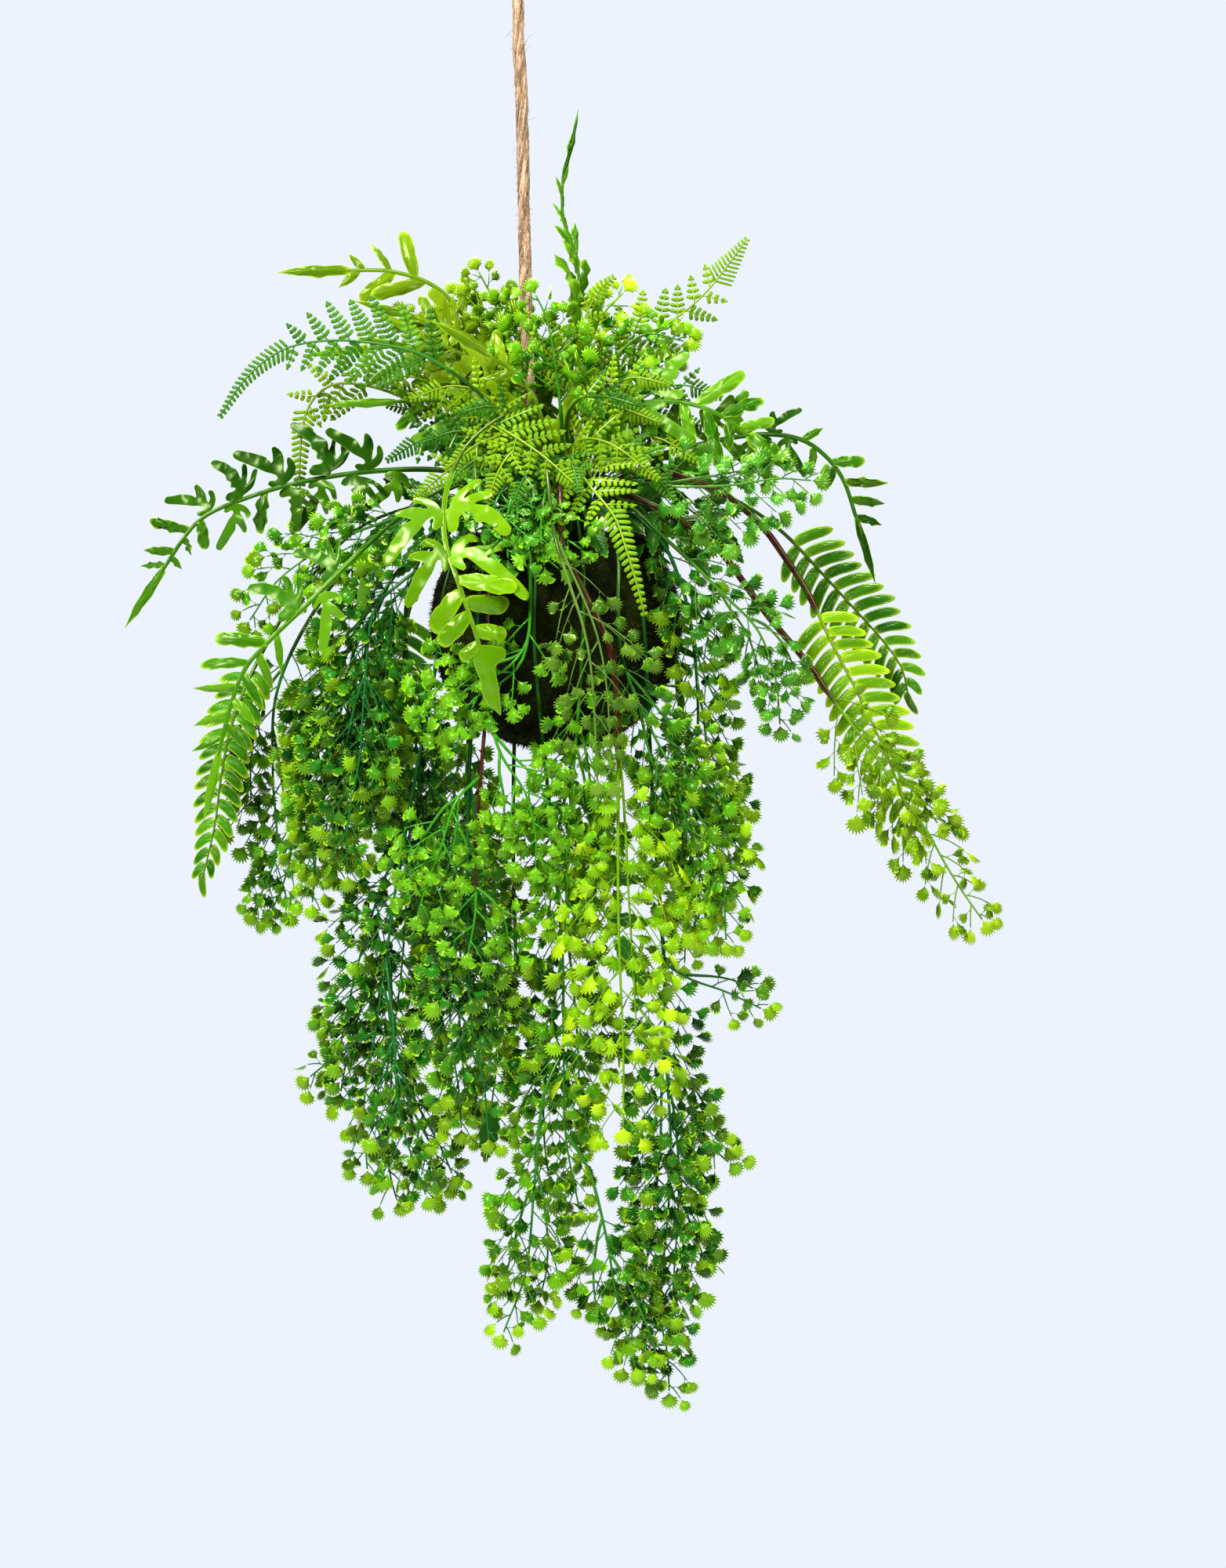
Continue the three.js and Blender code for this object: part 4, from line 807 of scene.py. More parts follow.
maidenhair("left_main", deep, [-26, -21.9], 190, [
    [-39, -34, 78], [-57, -50, 62], [-74, -60, 36], [-90, -63, 24], [-107, -63, 5], [-112, -63, -40],
    [-115, -64, -80], [-122, -64, -120], [-122, -64, -148]], sisters=(5, 22, 18), slot="mid")
maidenhair("left_second", mid, [-38, -17.7], 200, [
    [-50, -26, 66], [-68, -36, 58], [-86, -42, 40], [-101, -44, 20], [-120, -44, -8], [-129, -42, -40],
    [-134, -40, -84], [-141, -40, -130], [-144, -40, -165]], sisters=(3, 20, 18), slot="deep")
maidenhair("left_long", deep, [-30.7, -28.6], 200, [
    [-39, -38, 66], [-52, -50, 56], [-65, -60, 20], [-71, -62, -30], [-82, -60, -90], [-93, -56, -150],
    [-100, -54, -200], [-106, -52, -240], [-113, -52, -285], [-111, -52, -322]],
    forks=[(6, [[-95, -62, -240], [-91, -66, -290], [-76, -66, -336]], 90),
           (7, [[-125, -46, -252], [-145, -42, -268]], 34)], sisters=(5, 26, 14))
maidenhair("left_inner", deep, [-41.5, -5], 190, [
    [-54, -12, 65], [-74, -22, 52], [-89, -29, 10], [-85, -31, -50], [-79, -31, -110], [-73, -31, -160],
    [-71, -31, -205]], sisters=(3, 18, 16))
maidenhair("mid_front", vivid, [8.7, -41], 135, [
    [11, -54, 66], [14, -71, 54], [17, -84, 25], [16, -87, -20], [12, -87, -75], [8, -89, -120],
    [6, -90, -180]], sisters=(3, 20, 12))
maidenhair("left_outer", plain_mid, [-34, 1.2], 160, [
    [-50, -2, 74], [-78, -8, 70], [-115, -13, 46], [-148, -15, 2], [-167, -15, -42], [-169, -15, -90],
    [-167, -15, -135], [-180, -15, -170]], sisters=(2, 15, 14))
maidenhair("left_arch", plain_mid, [-25, -6.7], 120, [
    [-44, -20, 84], [-68, -32, 78], [-92, -38, 64], [-130, -40, 49], [-163, -40, 27], [-181, -40, 2]],
    sisters=(1, 12, 12))
maidenhair("right_long", gold, [26.8, -20.9], 160, [
    [38, -30, 76], [58, -40, 70], [80, -45, 57], [97, -47, 43], [125, -48, 5], [150, -48, -25],
    [162, -48, -43], [176, -48, -61], [190, -48, -80], [205, -48, -103], [219, -48, -122],
    [229, -48, -140], [240, -48, -158], [252, -48, -175]],
    stem=2, bark=2, sisters=(1, 10, 8), reach=1.15, apart=7)
maidenhair("right_upper", blue, [18.4, -18.4], 100, [
    [28, -31, 84], [48, -50, 83], [70, -62, 80], [100, -68, 80], [130, -70, 84], [150, -70, 83]],
    sisters=(1, 14, 10), leaf=1.1, reach=1.3, apart=6.8)
maidenhair("right_cluster", blue, [20.9, -26.8], 115, [
    [30, -40, 76], [46, -56, 67], [64, -64, 50], [80, -68, 35], [100, -70, 15], [119, -70, -5],
    [129, -70, -32], [132, -68, -60]], sisters=(3, 18, 12))
maidenhair("right_second", deep, [33, -25.9], 110, [
    [42, -33, 66], [55, -41, 57], [69, -45, 38], [79, -47, 5], [86, -47, -26], [94, -47, -44]],
    sisters=(1, 12, 12))
maidenhair("top_left", plain_gold, [4.7, 17.4], 95, [
    [-2, 22, 95], [-16, 25, 125], [-28, 26, 160], [-36, 25, 192], [-47, 22, 214]],
    forks=[(1, [[-40, 30, 158], [-62, 33, 177]], 44)], sisters=(2, 20, 10), leaf=0.9, slot="deep")
maidenhair("top_mid", plain_vivid, [4.5, -7.8], 70, [
    [4, -12, 95], [3, -18, 125], [0, -22, 152], [-5, -23, 180], [-12, -23, 196]], sisters=(1, 14, 10))
maidenhair("top_right", lime, [11.6, 13.8], 75, [
    [12, 20, 95], [12, 26, 130], [15, 28, 156], [26, 28, 186], [40, 27, 202]], sisters=(1, 14, 10))
maidenhair("top_dark", mid, [18, 0], 80, [
    [17, -4, 100], [19, -9, 130], [32, -14, 155], [52, -17, 173], [76, -19, 169]], sisters=(2, 14, 10),
    slot="deep")

# Smaller sprays that fill the crown, where the photo shows more leaves than whole fronds.
for number, (tint, root, leafed, sisters, leaf, route) in enumerate((
    (plain_gold, [-8, 9], 95, (2, 16, 10), 0.92,
     [[-16, 12, 98], [-38, 14, 140], [-62, 12, 168], [-90, 8, 188]]),
    (plain_vivid, [-2, 10], 80, (1, 12, 10), 1, [[-4, 12, 100], [-10, 12, 146], [-20, 12, 178], [-34, 8, 194]]),
    (plain_gold, [-3, 13], 90, (2, 16, 10), 0.92,
     [[-8, 15, 100], [-22, 17, 146], [-36, 16, 178], [-54, 12, 198]]),
    (plain_vivid, [8, 9], 90, (2, 16, 10), 0.9, [[14, 12, 98], [30, 14, 136], [50, 12, 160], [74, 8, 176]]),
), 1):
    maidenhair(f"crown_{number}", tint, root, leafed, route, sisters, leaf, extra=True)

maidenhair("back_right", mid, [26, 21.9], 190, [
    [38, 34, 78], [56, 52, 68], [78, 70, 20], [86, 78, -40], [84, 80, -100], [80, 80, -160],
    [78, 80, -205]], sisters=(2, 18, 16))
maidenhair("back_left", mid, [-21, 36.4], 220, [
    [-27, 48, 66], [-37, 62, 54], [-50, 74, 0], [-56, 76, -90], [-59, 74, -180], [-60, 72, -240],
    [-56, 72, -290]], sisters=(2, 18, 16))


# The lobed ferns: broad glossy leaves with rounded wavy rims, which fork like antlers near the foot of the
# frond. A narrow wing of leaf runs down each side of the rib.
def drawn(points, sides):
    # A smooth closed outline through given points, one point for each side, starting at the tip
    p = np.asarray(points, float)
    t = np.linspace(0, 1, 16, endpoint=False)[:, None]
    runs = []
    for i in range(len(p)):
        a, b, c, d = (p[(i + k) % len(p)] for k in (-1, 0, 1, 2))
        runs.append(0.5 * (2 * b + (c - a) * t + (2 * a - 5 * b + 4 * c - d) * t**2
                           + (3 * b - a - 3 * c + d) * t**3))
    fine = np.vstack([*runs, runs[0][:1]])
    far = run_length(fine)
    return at_stops(np.linspace(0, far[-1], sides, endpoint=False), far, fine)


lobe = leaf_blank(drawn([
    [1, 0.03], [0.96, 0.3], [0.82, 0.46], [0.64, 0.43], [0.47, 0.5], [0.28, 0.42], [0.12, 0.36], [0.0, 0.2],
    [-0.02, 0], [0.0, -0.2], [0.14, -0.34], [0.3, -0.45], [0.48, -0.42], [0.66, -0.5], [0.84, -0.44],
    [0.95, -0.28]], 26), rings=4, centre=(0.5, 0), thick=0.035, dome=0.03)


def pressed_leaf(outline, inset, rise, thick):
    # A forked leaf cut from a flat sheet: its rim is pressed down all round, and the sheet given thickness
    bpy.ops.object.select_all(action="DESELECT")
    bpy.ops.mesh.primitive_circle_add(vertices=len(outline), radius=1, fill_type="NGON")
    sheet = bpy.context.object
    for point, (x, y) in zip(sheet.data.vertices, outline):
        point.co = (x, y, 0)
    with edit_mode():
        bpy.ops.mesh.select_all(action="SELECT")
        bpy.ops.mesh.inset(thickness=inset, depth=rise)
    wall = sheet.modifiers.new("wall", "SOLIDIFY")
    wall.thickness, wall.offset = thick, -1
    bpy.ops.object.modifier_apply(modifier=wall.name)
    points, triangles = taken_apart(sheet)
    inward = np.linalg.norm(points[:, None, :2] - np.asarray(outline)[None], axis=2).min(axis=1)
    return dict(points=points, triangles=triangles, edge=1 - (inward / inset).clip(0, 1))


# Two forked leaves, which stand out from the rib or lean along it, the leaf at the tip of the broad frond,
# and the narrow pointed blade that ends the others.
antlers_spread = pressed_leaf(drawn([
    [1.01, 0.02], [1, 0.13], [0.88, 0.2], [0.76, 0.26], [0.58, 0.31], [0.43, 0.28], [0.36, 0.26], [0.41, 0.34],
    [0.53, 0.42], [0.57, 0.5], [0.48, 0.53], [0.37, 0.47], [0.26, 0.35], [0.19, 0.27], [0.22, 0.39],
    [0.31, 0.53], [0.35, 0.64], [0.28, 0.65], [0.19, 0.53], [0.08, 0.37], [0.05, 0.22], [0.05, 0.06],
    [-0.01, 0.01], [-0.01, -0.02], [0.05, -0.05], [0.07, -0.1], [0.14, -0.23], [0.23, -0.26], [0.29, -0.16],
    [0.25, -0.02], [0.28, 0.05], [0.35, -0.03], [0.43, 0.05], [0.52, 0.01], [0.62, 0.06], [0.76, 0.02],
    [0.92, -0.03]], 82), inset=0.028, rise=0.007, thick=0.013)
antlers_leaning = pressed_leaf(drawn([
    [1, 0], [0.98, 0.09], [0.91, 0.12], [0.68, 0.2], [0.49, 0.24], [0.36, 0.21], [0.41, 0.32], [0.48, 0.41],
    [0.45, 0.46], [0.35, 0.44], [0.23, 0.35], [0.16, 0.25], [0.1, 0.19], [0.1, 0.29], [0.17, 0.36],
    [0.19, 0.42], [0.13, 0.44], [0.04, 0.4], [-0.03, 0.29], [-0.04, 0.16], [0, 0.02], [0, -0.02],
    [0.06, -0.07], [0.13, -0.11], [0.24, -0.11], [0.24, -0.04], [0.15, 0.03], [0.18, 0.08], [0.27, 0.07],
    [0.37, 0.04], [0.52, 0.02], [0.71, -0.01], [0.92, -0.04]], 72), inset=0.024, rise=0.006, thick=0.01)
tip_leaf = pressed_leaf(drawn([
    [1.02, 0.03], [0.93, 0.06], [0.8, 0.08], [0.62, 0.11], [0.43, 0.12], [0.31, 0.14], [0.27, 0.24],
    [0.21, 0.33], [0.1, 0.33], [0.03, 0.21], [-0.02, 0.08], [-0.03, -0.03], [0.05, -0.11], [0.22, -0.14],
    [0.45, -0.12], [0.65, -0.14], [0.78, -0.12], [0.92, -0.03]], 40), inset=0.03, rise=0.007, thick=0.014)
blade = leaf_blank(drawn([
    [1.04, 0], [0.88, 0.16], [0.72, 0.4], [0.6, 0.34], [0.42, 0.5], [0.26, 0.38], [0.1, 0.36], [0, 0.14],
    [0, -0.14], [0.12, -0.36], [0.3, -0.46], [0.46, -0.38], [0.62, -0.46], [0.78, -0.28], [0.92, -0.14]], 22),
    rings=4, centre=(0.5, 0), thick=0.03, dome=0.03)
lobed_finishes = finishes("lobed", (
    ("mid", (0.018, 0.1, 0.001), (0.08, 0.23, 0.004), (0.2, 0.4, 0.008), (0.04, 0.16, 0.004)),
    ("deep", (0.008, 0.05, 0.001), (0.035, 0.14, 0.002), (0.18, 0.34, 0.006), (0.02, 0.1, 0.004)),
), "smooth", rough=0.42, rim_from=0.6, vein_tone=0.3, swell=4, shine=0.24)
lobed_finishes.update(finishes("lobed", (
    ("lime", (0.07, 0.19, 0.001), (0.125, 0.29, 0.002), (0.2, 0.36, 0.004), (0.1, 0.2, 0.004)),
), "smooth", rough=0.36, rim_from=0.5, vein_tone=0.2, swell=4, shine=0.4))
lobed_finishes.update(finishes("lobed", (
    ("gold", (0.06, 0.13, 0.001), (0.16, 0.28, 0.003), (0.27, 0.4, 0.008), (0.1, 0.2, 0.004)),
), "smooth", rough=0.4, rim_from=0.6, vein_tone=0.3, swell=3))


def lobed(name, tint, root, leafed, route, antlers=4, scale=1.0, wave=0.16, tip=None, end=3, tip_long=41,
          tip_wide=6, broad=7.8, lean=(50, 64), places=None, **more):
    # Leaves stand left and right in turn: simple ones towards the tip, then forked ones. places gives them
    # one by one instead: how far from the tip leaf's foot, which side, their length and width, or instead of
    # a width 0 for the spread forked leaf and -1 for the leaning one
    spray = Spray("lobed_" + name, root, leafed, route, **more)
    spray.draw_stems(end - 3)
    rng = spray.rng
    gap, simple_long, lobe_from = 7.8, 27, 7
    wide_gap, forked_long, spread_turn, leaning_turn = 16.5, 33, 70, 47
    for rib, leafed_length in spray.ribs:
        leaves = places
        if places is None:
            leaves = []
            simple = int((leafed_length * 1000 - antlers * wide_gap) / gap)
            for k in range(1, simple + antlers + 1):
                away = min(k, simple) * gap + max(0, k - simple) * wide_gap
                grown = (0.6 + 0.4 * min(1, away / (leafed_length * 400))) * rng.uniform(0.82, 1.15)
                side = 1 if k % 2 == 0 else -1
                long = (forked_long if k > simple else simple_long) * grown * scale
                wide = -rng.integers(0, 2) if k > simple else broad * rng.uniform(0.8, 1.2) * grown * scale
                leaves.append((away, side, long, wide))
        for away, side, long, wide in leaves:
            at, along, normal, across = rib.spot(rib.length - (end + away) / 1000)
            turn = math.radians(rng.uniform(*lean) if wide > 0 else spread_turn if wide == 0 else leaning_turn)
            lift = rng.uniform(-0.15, 0.25)
            way = unit(along * math.cos(turn) + across * side * math.sin(turn) + normal * lift)
            face = normal + rng.normal(size=3) * 0.22
            tone, droop = rng.random(), rng.uniform(0.05, 0.4)
            if wide > 0:
                spray.add(copies(lobe if wide > lobe_from else blade, at, way, face, long / 1000, wide / 1000,
                                 rng.uniform(-0.1, 0.12), droop, rng.uniform(-0.1, 0.3),
                                 wave * rng.uniform(0.6, 1.4), tone))
            else:
                blank = antlers_spread if wide == 0 else antlers_leaning
                if np.cross(unit(face), way).dot(along) >= 0:
                    blank = mirrored(blank)
                spray.add(copies(blank, at, way, face, long / 1000, long / 1000, rng.uniform(-0.1, 0.1), droop,
                                 0.06, wave * 0.35, tone))
        at, along, normal, across = rib.spot(rib.length - end / 1000)
        end_way = along if tip is None else unit(np.asarray(tip, float))
        if end > 3:
            spray.add(copies(tip_leaf, at, end_way, normal, tip_long / 1000, tip_long / 1000, 0, 0.1, 0.05,
                             wave * 0.2, rng.random()))
        else:
            spray.add(copies(blade, at, end_way, normal, tip_long / 1000, tip_wide / 1000, 0, 0.12, 0.1, wave,
                             rng.random()))
        # The wing: a tube along the rib, flattened into the leaves' plane
        wing = rib.here(np.linspace(rib.length - leafed_length, rib.length - end / 1000, 40))
        ribbon = stalks(wing[0][None], 0.0017 * np.linspace(1, 0.7, 40)[None], 8, wing[2][None], 0)
        flat = ribbon["points"][:-2].reshape(40, 8, 3) - wing[0][:, None]
        flat -= wing[2][:, None] * np.sum(flat * wing[2][:, None], axis=2, keepdims=True) * 0.85
        ribbon["points"][:-2] = (flat + wing[0][:, None]).reshape(-1, 3)
        ribbon["place"][:] = [0.5, 0.2, 0.5]
        spray.add(ribbon)
    spray.done(lobed_finishes[tint], tint.replace("gold", "lime"), 70)


lobed("front", "lime", [-4.5, -7.8], 146, [
    [-6, -14, 100], [-20, -34, 126], [-48, -66, 108], [-62, -90, 80], [-64, -104, 50], [-57, -112, 26],
    [-48, -115, 0], [-42, -113, -20], [-36, -108, -46]], wave=0.1, end=31, broad=12, lean=(58, 66), places=(
        (3, -1, 14, 8), (11, 1, 20, 10.5), (21, -1, 25, 11.5), (28, 1, 26, 12), (35, -1, 28, 12.5),
        (42, 1, 35, 11.5), (57, 1, 51, -1), (58, -1, 40, -1), (86, 1, 40, 0), (84, -1, 44, -1)))
lobed("left_low", "mid", [-21.3, -14.9], 150, [
    [-40, -38, 86], [-66, -56, 79], [-92, -68, 61], [-115, -74, 40], [-140, -76, 15], [-164, -76, -8],
    [-181, -76, -27], [-190, -76, -50], [-197, -76, -78]])
lobed("left_long", "deep", [-25.9, 2.3], 190, [
    [-34, 2, 78], [-48, -1, 88], [-72, -6, 93], [-110, -8, 92], [-150, -9, 86], [-185, -9, 76],
    [-214, -9, 62], [-236, -9, 32]], tip_long=42, tip_wide=6.5, wave=0.3, places=(
        (2, -1, 16, 5), (8, 1, 9, 5), (12, -1, 19, 6.4), (22, 1, 12, 5.6), (27, -1, 27, 7.4), (36, 1, 17, 7.4),
        (43, -1, 31, -1), (58, 1, 29, -1), (64, -1, 29, 0), (78, 1, 24, 8.6), (90, -1, 38, -1), (94, 1, 28, 0),
        (112, 1, 34, -1), (118, -1, 38, 0), (134, 1, 32, 0), (142, -1, 36, -1), (158, 1, 30, -1)))
lobed("top_left", "gold", [-5, 11], 110, [
    [-8, 13, 90], [-21, 14, 130], [-40, 12, 165], [-68, 7, 200], [-96, 3, 212], [-126, 0, 213]],
    tip_long=43, tip_wide=8.5, lean=(38, 60), places=(
        (5, 1, 15, 6), (8, -1, 14, 5), (24, -1, 21, 5.5), (26, 1, 26, 8.5), (39, -1, 29, 9), (45, 1, 34, 9.5),
        (62, 1, 36, 0), (74, -1, 27, 9), (84, 1, 34, -1), (96, -1, 30, 0)))
lobed("top_tall", "mid", [9, 0], 110, [
    [9, 0, 100], [9, 0, 150], [14, -2, 196], [11, -2, 222], [4, -2, 246], [4, -2, 272]],
    face=(0.75, -0.65, 0), wave=0.25, tip=(0.33, 0, 1), tip_wide=5, lean=(12, 26), places=(
        (5, -1, 12, 3), (12, 1, 12, 3), (19, -1, 15, 3.6), (27, 1, 13, 3.4), (33, -1, 17, 4.4),
        (42, 1, 16, 4.4), (47, -1, 19, 5.6), (56, -1, 33, 10.5), (60, 1, 22, 7), (72, 1, 27, 9),
        (76, -1, 28, 9), (90, 1, 28, 9)))
lobed("right_upper", "mid", [15.6, -9], 110, [
    [17, -14, 95], [25, -24, 120], [52, -33, 131], [75, -38, 131], [96, -42, 124], [116, -44, 110]],
    tip_long=36, tip_wide=12, wave=0.26, places=(
        (6, 1, 22, 7.4), (14, -1, 18, 7), (19, 1, 27, 9), (29, -1, 38, 9), (36, 1, 35, 9.6), (44, -1, 25, 8),
        (54, 1, 32, 0), (62, -1, 36, -1), (74, 1, 30, -1), (84, -1, 34, 0), (92, 1, 30, 0)))
lobed("right_long", "deep", [25.9, -2.3], 170, [
    [33, -3, 82], [46, -5, 97], [70, -8, 104], [100, -10, 111], [125, -10, 114], [146, -10, 111],
    [161, -10, 101], [172, -10, 86], [180, -10, 62]], tip_wide=5.5, wave=0.3, places=(
        (0, 1, 17, 6), (11, 1, 22, 6.6), (22, 1, 25, 6.8), (33, -1, 14, 5.4), (36, 1, 20, 7.4),
        (50, -1, 15, 6), (58, 1, 14, 5.4), (66, -1, 26, -1), (76, 1, 25, -1), (86, -1, 29, 0), (96, 1, 29, 0),
        (106, -1, 25, 8.6), (114, 1, 31, -1), (124, -1, 34, 0), (134, 1, 31, 0), (146, -1, 31, -1)))
lobed("upper_left_back", "mid", [-10.3, 14.7], 80, [
    [-15, 26, 100], [-32, 40, 140], [-60, 48, 162], [-90, 50, 171], [-116, 50, 170]])
lobed("back", "mid", [13, 22.5], 130, [
    [20, 38, 88], [32, 60, 92], [48, 86, 82], [62, 104, 52], [70, 114, 14], [74, 118, -20]])

# Smaller lobed sprays in the crown.
for number, (tint, root, leafed, antlers, scale, broad, wave, route) in enumerate((
    ("gold", [-7, 5], 90, 3, 1, 9, 0.16, [[-10, 8, 95], [-24, 8, 130], [-46, 4, 156], [-76, -2, 172]]),
    ("gold", [-3, -4], 80, 3, 1, 9, 0.16, [[-4, -8, 95], [-9, -14, 124], [-20, -20, 146], [-40, -26, 160]]),
    ("mid", [2, 6], 80, 2, 0.8, 7.8, 0.16, [[4, 8, 95], [8, 10, 128], [14, 10, 150], [20, 8, 172]]),
    ("gold", [-8, 13], 95, 4, 1, 9, 0.16, [[-14, 17, 100], [-32, 19, 138], [-54, 18, 158], [-82, 14, 166]]),
    ("mid", [-10, 4], 95, 4, 1, 9, 0.26, [[-18, 6, 98], [-38, 6, 122], [-66, 2, 134], [-98, -4, 134]]),
    ("gold", [-5, 8], 90, 4, 1, 9, 0.26, [[-10, 9, 100], [-26, 8, 144], [-50, 4, 172], [-84, -2, 184]]),
), 1):
    lobed(f"crown_{number}", tint, root, leafed, route, antlers, scale, wave, broad=broad, extra=True)


# The lace ferns: ribs with fine side combs, each comb a thin midrib set with narrow blunt leaflets. Towards
# the tip the combs shorten until single leaflets stand on the rib.
pinnule = leaf_blank(drawn([
    [1, 0], [0.9, 0.36], [0.6, 0.5], [0.25, 0.4], [0, 0.42], [0, -0.42], [0.3, -0.44], [0.65, -0.5],
    [0.92, -0.34]], 12), rings=2, centre=(0.5, 0), thick=0.06, dome=0.1)
lace_finishes = finishes("lace", (
    ("lime", (0.11, 0.27, 0.001), (0.24, 0.45, 0.003), (0.33, 0.54, 0.008), (0.18, 0.3, 0.006)),
    ("mid", (0.022, 0.13, 0.004), (0.085, 0.28, 0.01), (0.18, 0.4, 0.015), (0.03, 0.15, 0.012)),
    ("deep", (0.008, 0.07, 0.002), (0.035, 0.2, 0.005), (0.12, 0.34, 0.01), (0.02, 0.11, 0.006)),
), "comb", rough=0.4, rim_from=0.6, vein_tone=0.1)


def comb(spray, foot, way, normal, long, reach, shade):
    # One side comb: a midrib that arches over, with leaflets on both sides that shorten to its tip
    arch, leaflet_gap, leaflet_wide = 0.12, 0.0034, 0.0029
    t = np.linspace(0, 1, 6)[:, None]
    line = foot + way * long * t - normal * arch * long * t**2
    spray.add(stalks(line[None], np.linspace(0.00055, 0.0003, 6)[None], 3, normal, 1))
    count = max(3, int(long / leaflet_gap))
    u = (np.arange(count) + 0.8) / count
    u = np.repeat(u[u < 0.98], 2)
    side = np.where(np.arange(len(u)) % 2 == 0, 1, -1)[:, None]
    at = foot + way * long * u[:, None] - normal * arch * long * u[:, None] ** 2
    out = np.cross(normal, way)
    ways = unit(way * 0.4 + out * side - normal * 0.05)
    size = reach * (1 - 0.7 * u**1.6) * (0.72 + 0.28 * np.minimum(1, u / 0.15))
    spray.add(copies(pinnule, at, ways, normal, size, leaflet_wide, droop=0.15, shade=shade))
    spray.add(copies(pinnule, line[-1] - way * 0.0006, way, normal, 0.003, 0.0018, shade=shade))


def lace(name, tint, root, leafed, route, simple=24, pitch=2.7, blunt=2.1, tip_reach=9, long_comb=21, **more):
    # simple is how much of the tip, in mm, has single leaflets on the rib, each as long as tip_reach at most,
    # blunt wide and pitch apart. Below them stand the combs
    comb_gap, comb_short, grown_after = 0.0066, 0.011, 0.06
    spray = Spray("lace_" + name, root, leafed, route, **more)
    spray.draw_stems()
    rng = spray.rng
    for rib, leafed_length in spray.ribs:
        for k in range(int(simple / pitch)):
            s = rib.length - k * pitch / 1000
            at, along, normal, across = rib.here(np.array([s, s]))
            side = np.array([[1.0], [-1.0]])
            size = (2.4 + (tip_reach - 2.4) * k * pitch / simple) / 1000
            spray.add(copies(pinnule, at, unit(along * 0.45 + across * side), normal, size, blunt / 1000,
                             droop=0.15, shade=0.5))
        for k in range(int((leafed_length - simple / 1000) / comb_gap)):
            side = 1 if k % 2 == 0 else -1
            at, along, normal, across = rib.spot(rib.length - simple / 1000 - k * comb_gap)
            age = min(1, (k + 1) * comb_gap / grown_after)
            long = (comb_short + long_comb / 1000 * age) * rng.uniform(0.9, 1.08)
            way = unit(along * 0.56 + across * side * 0.83 + normal * rng.uniform(-0.1, 0.12))
            plane = unit(normal - way * normal.dot(way) + rng.normal(size=3) * 0.1)
            plane = unit(plane - way * plane.dot(way))
            comb(spray, at, way, plane, long, 0.0042 + 0.0034 * age, rng.random())
    spray.done(lace_finishes[tint], tint)


lace("front", "lime", [0, -18], 150, [
    [4, -26, 96], [10, -48, 95], [20, -76, 80], [35, -96, 60], [42, -104, 40], [48, -107, 20],
    [52, -107, 4]], simple=72, pitch=4.1, blunt=2.9, tip_reach=10.5, long_comb=38)
lace("left_top", "mid", [-15.6, -9], 160, [
    [-20, -14, 95], [-38, -22, 130], [-75, -27, 158], [-110, -30, 167], [-140, -30, 168],
    [-164, -30, 162], [-184, -30, 146], [-199, -30, 124]],
    simple=62, pitch=3.2, blunt=2.3, tip_reach=8.5, slot="lime")
lace("left_droop", "lime", [-22.5, 13], 120, [
    [-30, 15, 85], [-50, 14, 112], [-80, 10, 132], [-112, 6, 144], [-136, 4, 144], [-150, 2, 128],
    [-154, 2, 98], [-153, 2, 71]], simple=62, pitch=3.6, blunt=2.7, tip_reach=9, slot="mid")
lace("right_top", "lime", [6.9, 9.8], 118, [
    [6, 12, 95], [9, 13, 124], [22, 13, 150], [45, 13, 171], [70, 11, 184], [92, 9, 203], [114, 7, 232]],
    simple=36, pitch=2.8, blunt=1.8, tip_reach=12.5, long_comb=16, bark=1.6)
lace("right_mid", "deep", [9, -15.6], 55, [
    [9, -21, 95], [6, -32, 118], [13, -44, 132], [30, -56, 133], [50, -64, 127]])
lace("left_mid", "mid", [-16.7, 19.9], 75, [
    [-24, 24, 85], [-36, 28, 108], [-54, 30, 122], [-78, 30, 130], [-102, 30, 134]])
lace("back", "lime", [-2.3, 25.9], 110, [
    [-4, 44, 92], [-8, 68, 104], [-14, 94, 104], [-19, 114, 86], [-22, 124, 56]])

